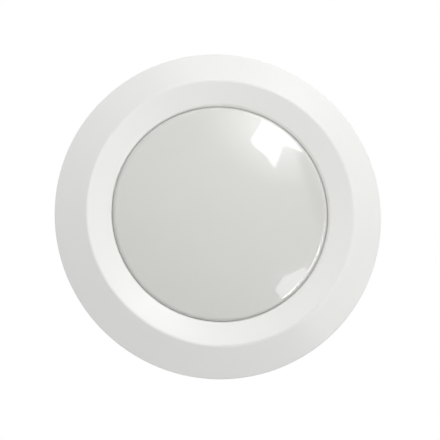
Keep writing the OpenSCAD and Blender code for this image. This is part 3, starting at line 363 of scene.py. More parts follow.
def foam():
    """Closed-cell rubber foam, die cut: dull near-black with open pits where the knife cut its cells, and
    painted shade darkening each pit.
    """
    finish, tree, place = new_finish("closed-cell foam")
    # Cells are 0.3 to 0.5 mm across; drawn at 0.8 mm so that they show
    cells = add_node(tree, "ShaderNodeTexVoronoi", {"feature": "SMOOTH_F1"}, Vector=place,
                     Scale=per_mm(0.8))
    # Each cell's pit: it sets the relief, and it also darkens the colour towards the pit's bottom as
    # painted shade
    pit_depth_and_shade = add_node(tree, "ShaderNodeMapRange", i0=cells, i1=0.1, i2=0.6)
    colour = add_node(tree, "ShaderNodeMix", COLOURS, i0=pit_depth_and_shade, i6=linear("#1B1B1C"), i7=linear("#343436"))
    bump = add_node(tree, "ShaderNodeBump", Distance=0.12 * MM, Height=pit_depth_and_shade)
    return shade(finish, Base_Color=colour.outputs[2], Roughness=0.95, IOR=1.45, Sheen_Weight=0.15,
                 Sheen_Roughness=0.6, Normal=bump)


def silicone(name, pale, deep, glow):
    """Moulded silicone rubber: waxy, with light let a little way in and a dusty bloom."""
    finish, tree, place = new_finish(name)
    bloom, colour = clouds(tree, place, 5, 4.0, pale, deep)
    rough = add_node(tree, "ShaderNodeMapRange", i0=bloom, **NOISE_SPREAD, i3=0.4, i4=0.58)
    grain = add_node(tree, "ShaderNodeTexNoise", Vector=place, Scale=per_mm(0.5), Detail=2.0)
    bump = add_node(tree, "ShaderNodeBump", Distance=0.01 * MM, Height=grain)
    return shade(finish, Base_Color=colour, Roughness=rough, IOR=1.41, Subsurface_Weight=glow,
                 Subsurface_Radius=(1.0, 0.9, 0.8), Subsurface_Scale=1.5 * MM, Normal=bump)


def circuit_board(name, resist, over_copper, track_mm, roughness):
    """Solder resist over etched copper: glossy lacquer, paler and raised where copper runs below it."""
    finish, tree, place = new_finish(name)
    tracks = add_node(tree, "ShaderNodeTexBrick", {"offset": 0.5, "squash": 0.6, "squash_frequency": 3},
                      Vector=place, Color1=(0, 0, 0, 1), Color2=(0, 0, 0, 1), Mortar=(1, 1, 1, 1),
                      Scale=per_mm(track_mm * 6), Mortar_Size=0.07, Mortar_Smooth=0.15, Brick_Width=1.1,
                      Row_Height=0.5)
    pads = add_node(tree, "ShaderNodeTexVoronoi", Vector=place, Scale=per_mm(track_mm * 3), Randomness=0.6)
    round_pads = add_node(tree, "ShaderNodeMapRange", i0=pads, i1=0.2, i2=0.16)
    copper = add_node(tree, "ShaderNodeMath", {"operation": "MAXIMUM", "use_clamp": True}, i0=tracks,
                      i1=round_pads)
    colour = add_node(tree, "ShaderNodeMix", COLOURS, i0=copper, i6=linear(resist), i7=linear(over_copper))
    lacquer = add_node(tree, "ShaderNodeTexNoise", Vector=place, Scale=per_mm(3), Detail=2.0)
    rough = add_node(tree, "ShaderNodeMapRange", i0=lacquer, **NOISE_SPREAD, i3=roughness - 0.05,
                     i4=roughness + 0.05)
    # Copper is 0.035 mm thick
    bump = add_node(tree, "ShaderNodeBump", Distance=0.035 * MM, Height=copper)
    return shade(finish, Base_Color=colour.outputs[2], Roughness=rough, IOR=1.55, Normal=bump)


def two_part(name, centre, axis, half_length, body, metal, body_rough, metal_rough):
    """A small electronic part: its moulded or fired body, and metal past half_length mm along an axis."""
    finish, tree, place = new_finish(name)
    from_centre = add_node(tree, "ShaderNodeVectorMath", "SUBTRACT", i0=place,
                           i1=tuple(c * MM for c in centre))
    parts = add_node(tree, "ShaderNodeSeparateXYZ", i0=from_centre)
    away = add_node(tree, "ShaderNodeMath", "ABSOLUTE", i0=parts.outputs[axis])
    is_metal = add_node(tree, "ShaderNodeMath", "GREATER_THAN", i0=away, i1=half_length * MM)
    grain = add_node(tree, "ShaderNodeTexNoise", Vector=place, Scale=per_mm(0.5), Detail=3.0)
    shift = add_node(tree, "ShaderNodeMapRange", i0=grain, i1=0.2, i2=0.8, i3=0.86, i4=1.1)
    tint = add_node(tree, "ShaderNodeMix", COLOURS, i0=is_metal, i6=linear(body), i7=linear(metal))
    colour = add_node(tree, "ShaderNodeVectorMath", "SCALE", i0=tint.outputs[2], Scale=shift)
    rough = add_node(tree, "ShaderNodeMix", {"data_type": "FLOAT"}, i0=is_metal, i2=body_rough,
                     i3=metal_rough)
    bump = add_node(tree, "ShaderNodeBump", Distance=0.02 * MM, Height=grain)
    return shade(finish, Base_Color=colour, Metallic=is_metal, Roughness=rough, Normal=bump)


def capacitor_sleeve(name, centre, radius, height):
    """Heat-shrunk polyester sleeve: dark glossy blue with one pale stripe down its negative side, and
    bare aluminium in the middle of its top. Centre is the foot's, in mm."""
    finish, tree, place = new_finish(name)
    from_foot = add_node(tree, "ShaderNodeVectorMath", "SUBTRACT", i0=place,
                         i1=tuple(c * MM for c in centre))
    parts = add_node(tree, "ShaderNodeSeparateXYZ", i0=from_foot)
    turn = add_node(tree, "ShaderNodeMath", "ARCTAN2", i0=parts.outputs[1], i1=parts)
    stripe = add_node(tree, "ShaderNodeMath", "COMPARE", i0=turn, i1=-math.pi / 2, i2=0.3)
    flat = add_node(tree, "ShaderNodeVectorMath", "MULTIPLY", i0=from_foot, i1=(1, 1, 0))
    out = add_node(tree, "ShaderNodeVectorMath", "LENGTH", i0=flat)
    inside = add_node(tree, "ShaderNodeMath", "LESS_THAN", i0=out.outputs["Value"], i1=(radius - 1.55) * MM)
    high = add_node(tree, "ShaderNodeMath", "GREATER_THAN", i0=parts.outputs[2], i1=(height - 0.6) * MM)
    bare = add_node(tree, "ShaderNodeMath", "MULTIPLY", i0=inside, i1=high)
    sleeve = add_node(tree, "ShaderNodeMix", COLOURS, i0=stripe, i6=linear("#22304A"), i7=linear("#B9C2CE"))
    colour = add_node(tree, "ShaderNodeMix", COLOURS, i0=bare, i6=sleeve.outputs[2], i7=linear("#CDCFD1"))
    shrink = add_node(tree, "ShaderNodeTexNoise", Vector=place, Scale=per_mm(2.5), Detail=2.0)
    rough, bump = relief(tree, shrink, 0.18, 0.3, 0.02)
    return shade(finish, Base_Color=colour.outputs[2], Metallic=bare, Roughness=rough, IOR=1.57,
                 Normal=bump)


def ferrite():
    """Sintered ferrite, ground on its mating faces: charcoal, dull, with a fine crystalline glint."""
    finish, tree, place = new_finish("sintered ferrite")
    grains = add_node(tree, "ShaderNodeTexVoronoi", Vector=place, Scale=per_mm(0.35))
    colour = add_node(tree, "ShaderNodeMix", COLOURS, i0=grains.outputs["Distance"], i6=linear("#333336"),
                      i7=linear("#48484C"))
    rough = add_node(tree, "ShaderNodeMapRange", i0=grains.outputs["Distance"], i3=0.45, i4=0.7)
    bump = add_node(tree, "ShaderNodeBump", Distance=0.03 * MM, Height=grains.outputs["Distance"])
    return shade(finish, Base_Color=colour.outputs[2], Metallic=0.3, Roughness=rough, Normal=bump)


def winding_tape():
    """Polyester winding tape: clear-coated yellow, showing the turns below it as fine level ridges."""
    finish, tree, place = new_finish("yellow polyester tape")
    turns = add_node(tree, "ShaderNodeTexWave", {"wave_type": "BANDS", "bands_direction": "Z"},
                     Vector=place, Scale=per_mm(0.5) / 20, Distortion=0.6, Detail=1.0)
    crease, colour = clouds(tree, place, 4, 3.0, "#E3BE42", "#C89A25")
    rise = add_node(tree, "ShaderNodeBump", Distance=0.05 * MM, Height=crease)
    bump = add_node(tree, "ShaderNodeBump", Distance=0.04 * MM, Height=turns, Normal=rise)
    return shade(finish, Base_Color=colour, Roughness=0.28, IOR=1.57, Coat_Weight=0.5,
                 Coat_Roughness=0.15, Normal=bump)


def enamelled_copper():
    """Magnet wire: copper under a thin amber enamel, bright along each turn."""
    finish, tree, place = new_finish("enamelled copper wire")
    tone, colour = clouds(tree, place, 1.5, 2.0, "#C8733A", "#A4541F")
    rough = add_node(tree, "ShaderNodeMapRange", i0=tone, **NOISE_SPREAD, i3=0.22, i4=0.36)
    return shade(finish, Base_Color=colour, Metallic=1.0, Roughness=rough, Coat_Weight=0.8,
                 Coat_Roughness=0.12)


def insulation(name, colour, stripe=None):
    """Extruded lead insulation: smooth and a little waxy; the earth's has a second colour in stripes."""
    finish, tree, place = new_finish(name)
    wax = add_node(tree, "ShaderNodeTexNoise", Vector=place, Scale=per_mm(1.2), Detail=2.0)
    shift = add_node(tree, "ShaderNodeMapRange", i0=wax, i1=0.2, i2=0.8, i3=0.9, i4=1.08)
    if stripe:
        round_it = add_node(tree, "ShaderNodeAttribute", {"attribute_name": "round"})
        wide = add_node(tree, "ShaderNodeMath", "PINGPONG", i0=round_it.outputs["Fac"], i1=0.25)
        yellow = add_node(tree, "ShaderNodeMath", "GREATER_THAN", i0=wide, i1=0.15)
        base = add_node(tree, "ShaderNodeMix", COLOURS,
                        i0=yellow, i6=linear(colour), i7=linear(stripe)).outputs[2]
    else:
        base = linear(colour)[:3]
    tint = add_node(tree, "ShaderNodeVectorMath", "SCALE", i0=base, Scale=shift)
    rough, bump = relief(tree, wax, 0.34, 0.46, 0.01)
    return shade(finish, Base_Color=tint, Roughness=rough, IOR=1.53, Normal=bump)


def threaded_nylon(name, axis_z, thread_r):
    """Moulded nylon whose round parts carry a cable-gland thread of 1.5 mm pitch, drawn as ridges."""
    finish, tree, place = new_finish(name)
    from_axis = add_node(tree, "ShaderNodeVectorMath", "SUBTRACT", i0=place, i1=(0, 0, axis_z * MM))
    parts = add_node(tree, "ShaderNodeSeparateXYZ", i0=from_axis)
    turn = add_node(tree, "ShaderNodeMath", "ARCTAN2", i0=parts.outputs[2], i1=parts)
    climb = add_node(tree, "ShaderNodeMath", "MULTIPLY", i0=parts.outputs[1], i1=2 * math.pi / (1.5 * MM))
    phase = add_node(tree, "ShaderNodeMath", "ADD", i0=climb, i1=turn)
    ridge = add_node(tree, "ShaderNodeMath", "SINE", i0=phase)
    across = add_node(tree, "ShaderNodeVectorMath", "MULTIPLY", i0=from_axis, i1=(1, 0, 1))
    out = add_node(tree, "ShaderNodeVectorMath", "LENGTH", i0=across)
    on_thread = add_node(tree, "ShaderNodeMath", "COMPARE", i0=out.outputs["Value"], i1=thread_r * MM,
                         i2=0.45 * MM)
    ridges = add_node(tree, "ShaderNodeMath", "MULTIPLY", i0=ridge, i1=on_thread)
    grain, colour = clouds(tree, place, 0.6, 3.0, "#2C2C2E", "#38383A")
    rough, fine = relief(tree, grain, 0.42, 0.55, 0.02)
    bump = add_node(tree, "ShaderNodeBump", Distance=0.3 * MM, Height=ridges, Normal=fine)
    return shade(finish, Base_Color=colour, Roughness=rough, IOR=1.53, Normal=bump)


# ---- the finish of each CAD part

white_powder = powder_coat()
opal = opal_polycarbonate()
# Zinc plate is bright and faintly clouded; rolled spring steel is darker, with the mill's long grain
zinc = bare_metal("zinc-plated steel", "#D9DBDD", "#BFC3C4", 0.3, 3, 0.25, 0.004)
spring = bare_metal("rolled spring steel", "#BFC1C4", "#A3A5A9", 0.27, 8, 0.3, 0.004, (1, 0.06, 1))
# Tin is a soft, warm white; on the clamps' alloy it lets some brass colour through
tinned = bare_metal("tinned copper", "#DAD7CF", "#C2BEB4", 0.34, 2, 0.3, 0.006)
clamp_alloy = bare_metal("tinned copper alloy", "#D9C99B", "#C2AC74", 0.32, 3, 0.3, 0.005)
# Housings come from an eroded tool and are matt; unfilled nylon is smoother and a little waxy
box_moulding = moulded("textured pale grey box moulding", "#DFDFDD", "#D8D8D6", 0.52, 0.55, 0.03, 1.58)
block_moulding = moulded("pale grey nylon block", "#E6E6E2", "#DEDEDA", 0.46, 0.5, 0.015)
ivory = moulded("ivory nylon", "#E8E2CF", "#DFD8C2", 0.45, 0.4, 0.01)
# Rubber is dull and near black; black nylon keeps a faint sheen
rubber = moulded("moulded black rubber", "#262627", "#303031", 0.72, 0.45, 0.03, 1.52, 8)
nylon = moulded("moulded black nylon", "#2D2D2F", "#37373A", 0.48, 0.5, 0.02)
gland_thread = threaded_nylon("black nylon with a moulded thread", 49, 8.3)
# Silicone is waxy: the clearer it is, the more it glows at its edges; a filled pad is chalky
grey_silicone = silicone("pale grey silicone", "#D8D8D6", "#CACAC8", 0.3)
red_silicone = silicone("brick red silicone", "#9C4E38", "#874330", 0.1)
pad_silicone = silicone("filled blue-grey silicone pad", "#99A8B8", "#8494A5", 0.05)
# Reflector sheet scatters nearly all light, with no gloss to speak of
sheet = moulded("white diffuse reflector sheet", "#F6F6F5", "#F1F1F0", 0.5, 0.3, 0.008, 1.57)
white_board = circuit_board("white resist over aluminium board", "#EFEFEC", "#F7F7F4", 1.6, 0.3)
green_board = circuit_board("green resist over fibreglass board", "#1B5A34", "#2F8650", 0.5, 0.28)
light_body = moulded("white lamp package", "#F2F0EA", "#EAE7DE", 0.4, 0.3, 0.004)
phosphor = silicone("yellow phosphor gel", "#E8C65A", "#DDB540", 0.2)

cad_finish = {
    "trim_ring": white_powder, "lens": opal, "lens_gasket": grey_silicone, "reflector": sheet,
    "led_board": white_board, "led_connector": ivory, "thermal_pad": pad_silicone,
    "heat_sink": cast_aluminium(), "body_seal": red_silicone, "gland_body": gland_thread,
    "driver_board": green_board, "transformer_core": ferrite(),
    "terminal_block": block_moulding, "terminal_clamps": clamp_alloy, "earth_lug": tinned,
    "release_button_live": moulded("brown nylon button", "#6F4527", "#634022", 0.35, 0.4, 0.008),
    "release_button_neutral": moulded("blue nylon button", "#2F65B8", "#2A5AA6", 0.35, 0.4, 0.008),
    "release_button_earth": moulded("green nylon button", "#4C8F3C", "#448236", 0.35, 0.4, 0.008),
    "bulk_capacitor": capacitor_sleeve("bulk capacitor sleeve", (-18, 26, 40.1), 8, 20),
    "output_capacitor": capacitor_sleeve("output capacitor sleeve", (20, 44, 40.1), 5, 16),
    "input_fuse": two_part("fired ceramic fuse with nickel caps", (10, -6, 43.1), 0, 3.6,
                           "#DAD5C9", "#C9C8C2", 0.35, 0.25),
    "surge_varistor": two_part("dipped blue epoxy disc on tinned legs", (-20, -8.5, 50.1), 2, 5.6,
                               "#2B5FA8", "#CFCDC6", 0.25, 0.3),
    "bridge_rectifier": moulded("black moulded epoxy", "#242426", "#2E2E31", 0.5, 0.3, 0.01),
    "controller_chip": two_part("black epoxy chip with tinned legs", (14, 5, 41.1), 1, 2.05,
                                "#242427", "#CBCAC6", 0.5, 0.3),
    "switching_transistor": two_part("black epoxy transistor on a tinned tab", (27, 9.6, 47.6), 1, 2.35,
                                     "#232325", "#C6C6C4", 0.5, 0.32),
}
shared = {
    "board_screws trim_screws tray_screws gear_screws cover_screws bracket_screws earth_screw": zinc,
    "door_pin clip_pins clip_bracket_right clip_bracket_left": zinc,
    "clip_arm_right clip_arm_left": spring, "gland_nut gland_locknut": nylon,
    "lead_grommet gland_washer gland_seal": rubber, "gear_tray driver_cover wiring_door": box_moulding,
}
for names, finish in shared.items():
    cad_finish.update((name, finish) for name in names.split())
for name, finish in cad_finish.items():
    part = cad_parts[name]
    part.data.materials.clear()
    part.data.materials.append(finish)

# ---- node trees that repeat or follow


def new_tree(name, inputs):
    """An empty geometry tree with its named inputs: (name, socket type) pairs."""
    tree = bpy.data.node_groups.new(name, "GeometryNodeTree")
    tree.interface.new_socket(name="Geometry", in_out="INPUT", socket_type="NodeSocketGeometry")
    for label, kind in inputs:
        tree.interface.new_socket(name=label, in_out="INPUT", socket_type=kind)
    tree.interface.new_socket(name="Geometry", in_out="OUTPUT", socket_type="NodeSocketGeometry")
    return tree, add_node(tree, "NodeGroupInput").outputs


def close_tree(tree, geometry, material, smooth=True):
    """Ends a geometry tree: real geometry, its shading and its material."""
    real = add_node(tree, "GeometryNodeRealizeInstances", Geometry=geometry)
    shaded = add_node(tree, "GeometryNodeSetShadeSmooth", i0=real, Shade_Smooth=smooth)
    painted = add_node(tree, "GeometryNodeSetMaterial", Geometry=shaded, Material=material)
    add_node(tree, "NodeGroupOutput", Geometry=painted)
    return tree


def wire_tree():
    """Sweeps a round wire along each curve, and keeps how far round it a point is."""
    tree, given = new_tree("wire along a path", [
        ("Wire radius", "NodeSocketFloat"), ("Sides", "NodeSocketInt"), ("Finish", "NodeSocketMaterial")])
    circle = add_node(tree, "GeometryNodeCurvePrimitiveCircle", Resolution=given["Sides"],
                      Radius=given["Wire radius"])
    along = add_node(tree, "GeometryNodeSplineParameter")
    marked = add_node(tree, "GeometryNodeStoreNamedAttribute", {"data_type": "FLOAT", "domain": "POINT"},
                      Geometry=circle, Name="round", Value=along.outputs["Factor"])
    swept = add_node(tree, "GeometryNodeCurveToMesh", Curve=given["Geometry"], Profile_Curve=marked,
                     Fill_Caps=True)
    return close_tree(tree, swept, given["Finish"])


def evaluate(name, source, tree, **inputs):
    """Runs a geometry tree on an object and keeps the result as a plain mesh piece."""
    run = source.modifiers.new("shape", "NODES")
    run.node_group = tree
    keys = {item.name: item.identifier for item in tree.interface.items_tree
            if item.item_type == "SOCKET" and item.in_out == "INPUT"}
    for label, value in inputs.items():
        run[keys[label.replace("_", " ")]] = value
    bpy.context.view_layer.update()
    graph = bpy.context.evaluated_depsgraph_get()
    mesh = bpy.data.meshes.new_from_object(source.evaluated_get(graph))
    mesh.name = name
    source.modifiers.remove(run)
    bpy.data.objects.remove(source)
    piece = bpy.data.objects.new(name, mesh)
    bpy.context.scene.collection.objects.link(piece)
    return piece


def path_object(routes):
    """One curve object with a spline for each route; points are in mm."""
    curve = bpy.data.curves.new("path", "CURVE")
    curve.dimensions = "3D"
    for route in routes:
        spline = curve.splines.new("POLY")
        spline.points.add(len(route) - 1)
        for point, (x, y, z) in zip(spline.points, route):
            point.co = (x * MM, y * MM, z * MM, 1)
    holder = bpy.data.objects.new("path", curve)
    bpy.context.scene.collection.objects.link(holder)
    return holder


WIRE_TREE = wire_tree()


def wire(name, routes, radius, sides, finish):
    """Round wire along the routes; sizes are in mm."""
    return evaluate(name, path_object(routes), WIRE_TREE, Wire_radius=radius * MM, Sides=sides,
                    Finish=finish)


def on_body(piece, body, slot, *nodes):
    """Makes a piece ride on its body and stand for its CAD nodes; slot is not used."""
    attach(piece, body)
    if nodes:
        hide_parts(*nodes)
    return piece


def soft_route(corners, bend, steps=8):
    """The corners' path with each corner rounded, as the CAD's leads have it."""
    points = [Vector(corners[0])]
    for a, b, c in zip(corners, corners[1:], corners[2:]):
        a, b, c = Vector(a), Vector(b), Vector(c)
        d = min(bend, (a - b).length / 2, (c - b).length / 2)
        p, q = b + (a - b).normalized() * d, b + (c - b).normalized() * d
        points += [(1 - t) ** 2 * p + 2 * t * (1 - t) * b + t * t * q
                   for t in (k / steps for k in range(steps + 1))]
    return points + [Vector(corners[-1])]


def mesh_piece(name, points, faces, finish, smooth=True):
    """A mesh object from points in metres, with one finish and its faces turned outwards."""
    mesh = bpy.data.meshes.new(name)
    mesh.from_pydata(points, [], faces)
    work = bmesh.new()
    work.from_mesh(mesh)
    bmesh.ops.remove_doubles(work, verts=work.verts, dist=1e-7)
    bmesh.ops.recalc_face_normals(work, faces=work.faces)
    work.to_mesh(mesh)
    work.free()
    mesh.polygons.foreach_set("use_smooth", [smooth] * len(mesh.polygons))
    mesh.materials.append(finish)
    piece = bpy.data.objects.new(name, mesh)
    bpy.context.scene.collection.objects.link(piece)
    return piece


def lofted(name, loops, finish, ring=True, smooth=True):
    """Joins each loop of points, in mm, to the next: a ring goes round to the first, and otherwise the
    end loops are filled."""
    n, count = len(loops[0]), len(loops)
    points = [(x * MM, y * MM, z * MM) for loop in loops for x, y, z in loop]
    faces = [(i * n + k, i * n + (k + 1) % n, (i + 1) % count * n + (k + 1) % n, (i + 1) % count * n + k)
             for i in range(count if ring else count - 1) for k in range(n)]
    if not ring:
        faces += [tuple(range(n))[::-1], tuple((count - 1) * n + k for k in range(n))]
    return mesh_piece(name, points, faces, finish, smooth)


def around(steps):
    """The angles of this many even steps round a circle, in radians."""
    return [2 * math.pi * k / steps for k in range(steps)]


def corner_arc(x, y, r, turn):
    """Five points along a quarter circle about (x, y) that starts at turn degrees."""
    return [(x + r * math.cos(a), y + r * math.sin(a))
            for a in (math.radians(turn + 22.5 * k) for k in range(5))]


# ---- the foam seal on the soffit side

SEAL_IN, SEAL_OUT, SEAL_T = 84.5, 92.0, 2.0


def foam_seal():
    """A die-cut foam ring, slightly crowned, its cut edges a little ragged and rounded by the knife."""
    edge = 0.35
    section = []
    for x, z, turn in ((SEAL_OUT - edge, -edge, 0), (SEAL_IN + edge, -edge, 90),
                       (SEAL_IN + edge, edge - SEAL_T, 180), (SEAL_OUT - edge, edge - SEAL_T, 270)):
        section += corner_arc(x, z, edge, turn)
        if turn in (0, 180):
            for k in (1, 2, 3, 4, 5):
                t = k / 6 if turn == 0 else 1 - k / 6
                sag = 0.05 * (1 - math.sin(math.pi * k / 6)) if turn == 0 else 0
                section.append((SEAL_OUT - edge + (SEAL_IN - SEAL_OUT + 2 * edge) * t,
                                -sag if turn == 0 else -SEAL_T))
    loops = []
    for a in around(360):
        loop = []
        for k, (r, z) in enumerate(section):
            wave = 0.03 * math.sin(7 * a + k) + 0.02 * math.sin(31 * a + 2.4 * k)
            dip = 0.02 * (1 + math.sin(11 * a + 0.7 * k)) if z > -0.5 else 0
            loop.append(((r + wave) * math.cos(a), (r + wave) * math.sin(a), z - dip))
        loops.append(loop)
    return lofted("foam_seal", loops, foam())


seal = on_body(foam_seal(), "housing", "foam_seal", "soffit_seal")

# ---- the clips' springs and pads

SIDES = ((1, "right"), (-1, "left"))
PIVOT_X, PIVOT_Z = 69.5, 29.5
COIL_R, WIRE_R, COIL_PITCH = 3.2, 0.6, 1.75
COIL_START, COIL_SWEEP = 215, 1809
LEG_OUT, LEG_ARM = 8, 11


def turned(route, side):
    """The route as it is at +X, or turned half round for the clip at -X."""
    return [(side * x, side * y, z) for x, y, z in route]


def spring_route():
    """One leg on the bracket, five turns round the pivot, one leg along the arm."""
    steps = 200
    length = COIL_PITCH * COIL_SWEEP / 360
    coil, ends = [], []
    for k in range(steps + 1):
        s = k / steps
        a = math.radians(COIL_START + s * COIL_SWEEP)
        coil.append(Vector((PIVOT_X + COIL_R * math.cos(a), (s - 0.5) * length,
                            PIVOT_Z + COIL_R * math.sin(a))))
        if k in (0, steps):
            ends.append(Vector((-math.sin(a), 0, math.cos(a))))
    return [coil[0] - LEG_OUT * ends[0]] + coil + [coil[-1] + LEG_ARM * ends[1]]


for side, word in SIDES:
    coil_spring = wire(f"torsion_spring_{word}", [turned(spring_route(), side)], WIRE_R, 12, spring)
    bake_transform(coil_spring)
    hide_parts(f"clip_spring_{word}")

ARM_DOWN = math.radians(46)
CURL_AT, CURL_V = 26.5, -2.2
PAD_IN, PAD_WALL, PAD_OUT, PAD_W = 3.05, 0.75, 4.2, 17.8
RIBS, RIB_R = 15, 0.45


def pad_arc(radius, from_turn, to_turn, steps=40):
    """An arc about the arm's curl, from its open mouth round to its underside."""
    arc = []
    for k in range(steps + 1):
        t = math.radians(from_turn + (to_turn - from_turn) * k / steps)
        u, v = CURL_AT + radius * math.cos(t), CURL_V + radius * math.sin(t)
        arc.append((PIVOT_X + u * math.cos(ARM_DOWN) + v * math.sin(ARM_DOWN), 0,
                    PIVOT_Z - u * math.sin(ARM_DOWN) + v * math.cos(ARM_DOWN)))
    return arc


def ribbed_sleeve_tree():
    """First spline: the sleeve's middle. Second spline: where its ribs stand."""
    tree, given = new_tree("ribbed rubber sleeve", [
        ("Width", "NodeSocketFloat"), ("Wall", "NodeSocketFloat"), ("Ribs", "NodeSocketInt"),
        ("Rib radius", "NodeSocketFloat"), ("Finish", "NodeSocketMaterial")])
    index = add_node(tree, "GeometryNodeInputIndex")
    second = add_node(tree, "FunctionNodeCompare", {"data_type": "INT", "operation": "GREATER_THAN"},
                      A=index, B=0)
    apart = add_node(tree, "GeometryNodeSeparateGeometry", {"domain": "CURVE"}, Geometry=given["Geometry"],
                     Selection=second)
    wall = add_node(tree, "GeometryNodeCurvePrimitiveQuadrilateral", Width=given["Width"],
                    Height=given["Wall"])
    sleeve = add_node(tree, "GeometryNodeCurveToMesh", Curve=apart.outputs["Inverted"], Profile_Curve=wall,
                      Fill_Caps=True)
    places = add_node(tree, "GeometryNodeCurveToPoints", {"mode": "COUNT"},
                      Curve=apart.outputs["Selection"], Count=given["Ribs"])
    rib = add_node(tree, "GeometryNodeMeshCylinder", Vertices=10, Radius=given["Rib radius"],
                   Depth=given["Width"])
    ribs = add_node(tree, "GeometryNodeInstanceOnPoints", Points=places.outputs["Points"],
                    Instance=rib.outputs["Mesh"], Rotation=(math.pi / 2, 0, 0))
    both = add_node(tree, "GeometryNodeJoinGeometry", Geometry=sleeve)
    tree.links.new(ribs.outputs[0], both.inputs[0])
    return close_tree(tree, both, given["Finish"], smooth=False)


SLEEVE_TREE = ribbed_sleeve_tree()
for side, word in SIDES:
    arcs = path_object([turned(pad_arc(PAD_IN + PAD_WALL / 2, -88, 203), side),
                        turned(pad_arc(PAD_OUT - RIB_R, -82, 197), side)])
    pad = evaluate(f"ribbed_pad_{word}", arcs, SLEEVE_TREE, Width=PAD_W * MM, Wall=PAD_WALL * MM, Ribs=RIBS,
                   Rib_radius=RIB_R * MM, Finish=rubber)
    on_body(pad, f"clip_{word}", "black_rubber", f"clip_pad_{word}")

# ---- leads

BLOCK_Y, EXIT_Z, BOARD_TOP = -24, 45, 40.1
LEAD_R, CORE_R, THIN_R, LEAD_BEND = 1.0, 0.45, 0.8, 3
JOINT_Y, LIGHT_Y, LIGHT_X = -8, 9, 1.5

brown = insulation("brown lead insulation", "#6A4227")
blue = insulation("blue lead insulation", "#2B5CB0")
earth_green = insulation("green and yellow lead insulation", "#3F8B3A", "#E2C53A")
red = insulation("red lead insulation", "#B3261F")
black = insulation("black lead insulation", "#1F1F20")

leads = (
    ("lead_live", brown, "brown_plastic", LEAD_R,
     [(-8, BLOCK_Y, EXIT_Z), (-8, JOINT_Y, EXIT_Z), (-8, JOINT_Y, BOARD_TOP + 1.6)]),
    ("lead_neutral", blue, "blue_plastic", LEAD_R,
     [(0, BLOCK_Y, EXIT_Z), (0, JOINT_Y, EXIT_Z), (0, JOINT_Y, BOARD_TOP + 1.6)]),
    ("lead_earth", earth_green, "green_plastic", LEAD_R,
     [(8, BLOCK_Y, EXIT_Z), (8, -20, EXIT_Z), (8, -20, 17.8), (8, -26, 17.8)]),
    ("lead_positive", red, "red_plastic", THIN_R,
     [(LIGHT_X, LIGHT_Y, 38.5), (LIGHT_X, LIGHT_Y, 4.4), (LIGHT_X, 3, 4.4)]),
    ("lead_negative", black, "black_plastic", THIN_R,
     [(-LIGHT_X, LIGHT_Y, 38.5), (-LIGHT_X, LIGHT_Y, 4.4), (-LIGHT_X, 3, 4.4)]),
)
for name, finish, slot_name, radius, corners in leads:
    lead = wire(f"{name}_insulation", [soft_route(corners, LEAD_BEND)], radius, 14, finish)
    on_body(lead, "housing", slot_name, name)
cores = wire("lead_cores", [[(x, JOINT_Y, BOARD_TOP + 2), (x, JOINT_Y, BOARD_TOP + 0.1)] for x in (-8, 0)],
             CORE_R, 10, tinned)
on_body(cores, "housing", "tinned_copper")

# ---- the driver's wound parts

CHOKE = (-17, 4, 45.1)
CHOKE_R, CORE_SECTION, MAGNET_R = 5.2, 2.4, 0.32


def near_core(a, b, r):
    """A point r mm from the ring core's middle line: a turns round the choke, b round the core."""
    out = CHOKE_R + r * math.cos(b)
    return CHOKE[0] + out * math.cos(a), CHOKE[1] + out * math.sin(a), CHOKE[2] + r * math.sin(b)


def choke_routes(turns=9):
    """Two windings on one ring, each a single wire whose ends go down to the base."""
    wound = CORE_SECTION + MAGNET_R + 0.04
    routes = []
    for first in (20, 200):
        route = []
        for k in range(turns * 18 + 1):
            s = k / (turns * 18)
            a, b = math.radians(first + 140 * s), math.radians(-40 - 360 * turns * s)
            route.append(near_core(a, b, wound))
        feet = [(x, y, BOARD_TOP + 1.9) for x, y, z in (route[0], route[-1])]
        routes.append([feet[0]] + route + [feet[1]])
    return routes


def flat_plate(name, centre, size, corner, z_from, z_to, finish, hole=None):
    """A plate with rounded corners, and a rounded window if hole gives its size; sizes in mm."""
    def outline(half_x, half_y, r):
        loop = []
        for sx, sy, turn in ((1, 1, 0), (-1, 1, 90), (-1, -1, 180), (1, -1, 270)):
            loop += corner_arc(centre[0] + sx * (half_x - r), centre[1] + sy * (half_y - r), r, turn)
        return loop
    edge = min(0.15, (z_to - z_from) / 4)
    outer = [outline(size[0] / 2 - d, size[1] / 2 - d, corner) for d in (edge, 0, 0, edge)]
    heights = [z_from, z_from + edge, z_to - edge, z_to]
    loops = [[(x, y, z) for x, y in loop] for loop, z in zip(outer, heights)]
    if hole:
        inner = outline(hole[0] / 2, hole[1] / 2, 0.4)
        loops += [[(x, y, z) for x, y in inner] for z in (z_to, z_from)]
    return lofted(name, loops, finish, ring=bool(hole), smooth=False)


copper = enamelled_copper()
epoxy_ring = moulded("grey-green epoxy on a ring core", "#5E6B62", "#525E56", 0.4, 0.6, 0.02, 1.55, 6)
core_loops = [[near_core(a, b, CORE_SECTION) for b in around(24)] for a in around(64)]
choke = wire("choke_windings", choke_routes(), MAGNET_R, 8, copper)
on_body(choke, "housing", "copper_winding", "mains_choke")
on_body(lofted("choke_ring_core", core_loops, epoxy_ring), "housing", "ferrite")
choke_base = flat_plate("choke_base", CHOKE[:2], (17, 17), 1.5, BOARD_TOP, BOARD_TOP + 2, nylon)
on_body(choke_base, "housing", "black_nylon")

TRANSFORMER = (9, 22)
WINDOW_Z = (43.25, 52.95)
FLANGE, FLANGE_HOLE, FLANGE_T = (16.7, 20), (8.4, 12.4), 0.8


def winding_loop(half_x, half_y, power_x, power_y, z):
    """A loop round the transformer's middle: the lower its powers, the squarer it is."""
    loop = []
    for a in around(72):
        c, s = math.cos(a), math.sin(a)
        loop.append((TRANSFORMER[0] + math.copysign(abs(c) ** power_x, c) * half_x,
                     TRANSFORMER[1] + math.copysign(abs(s) ** power_y, s) * half_y, z))
    return loop


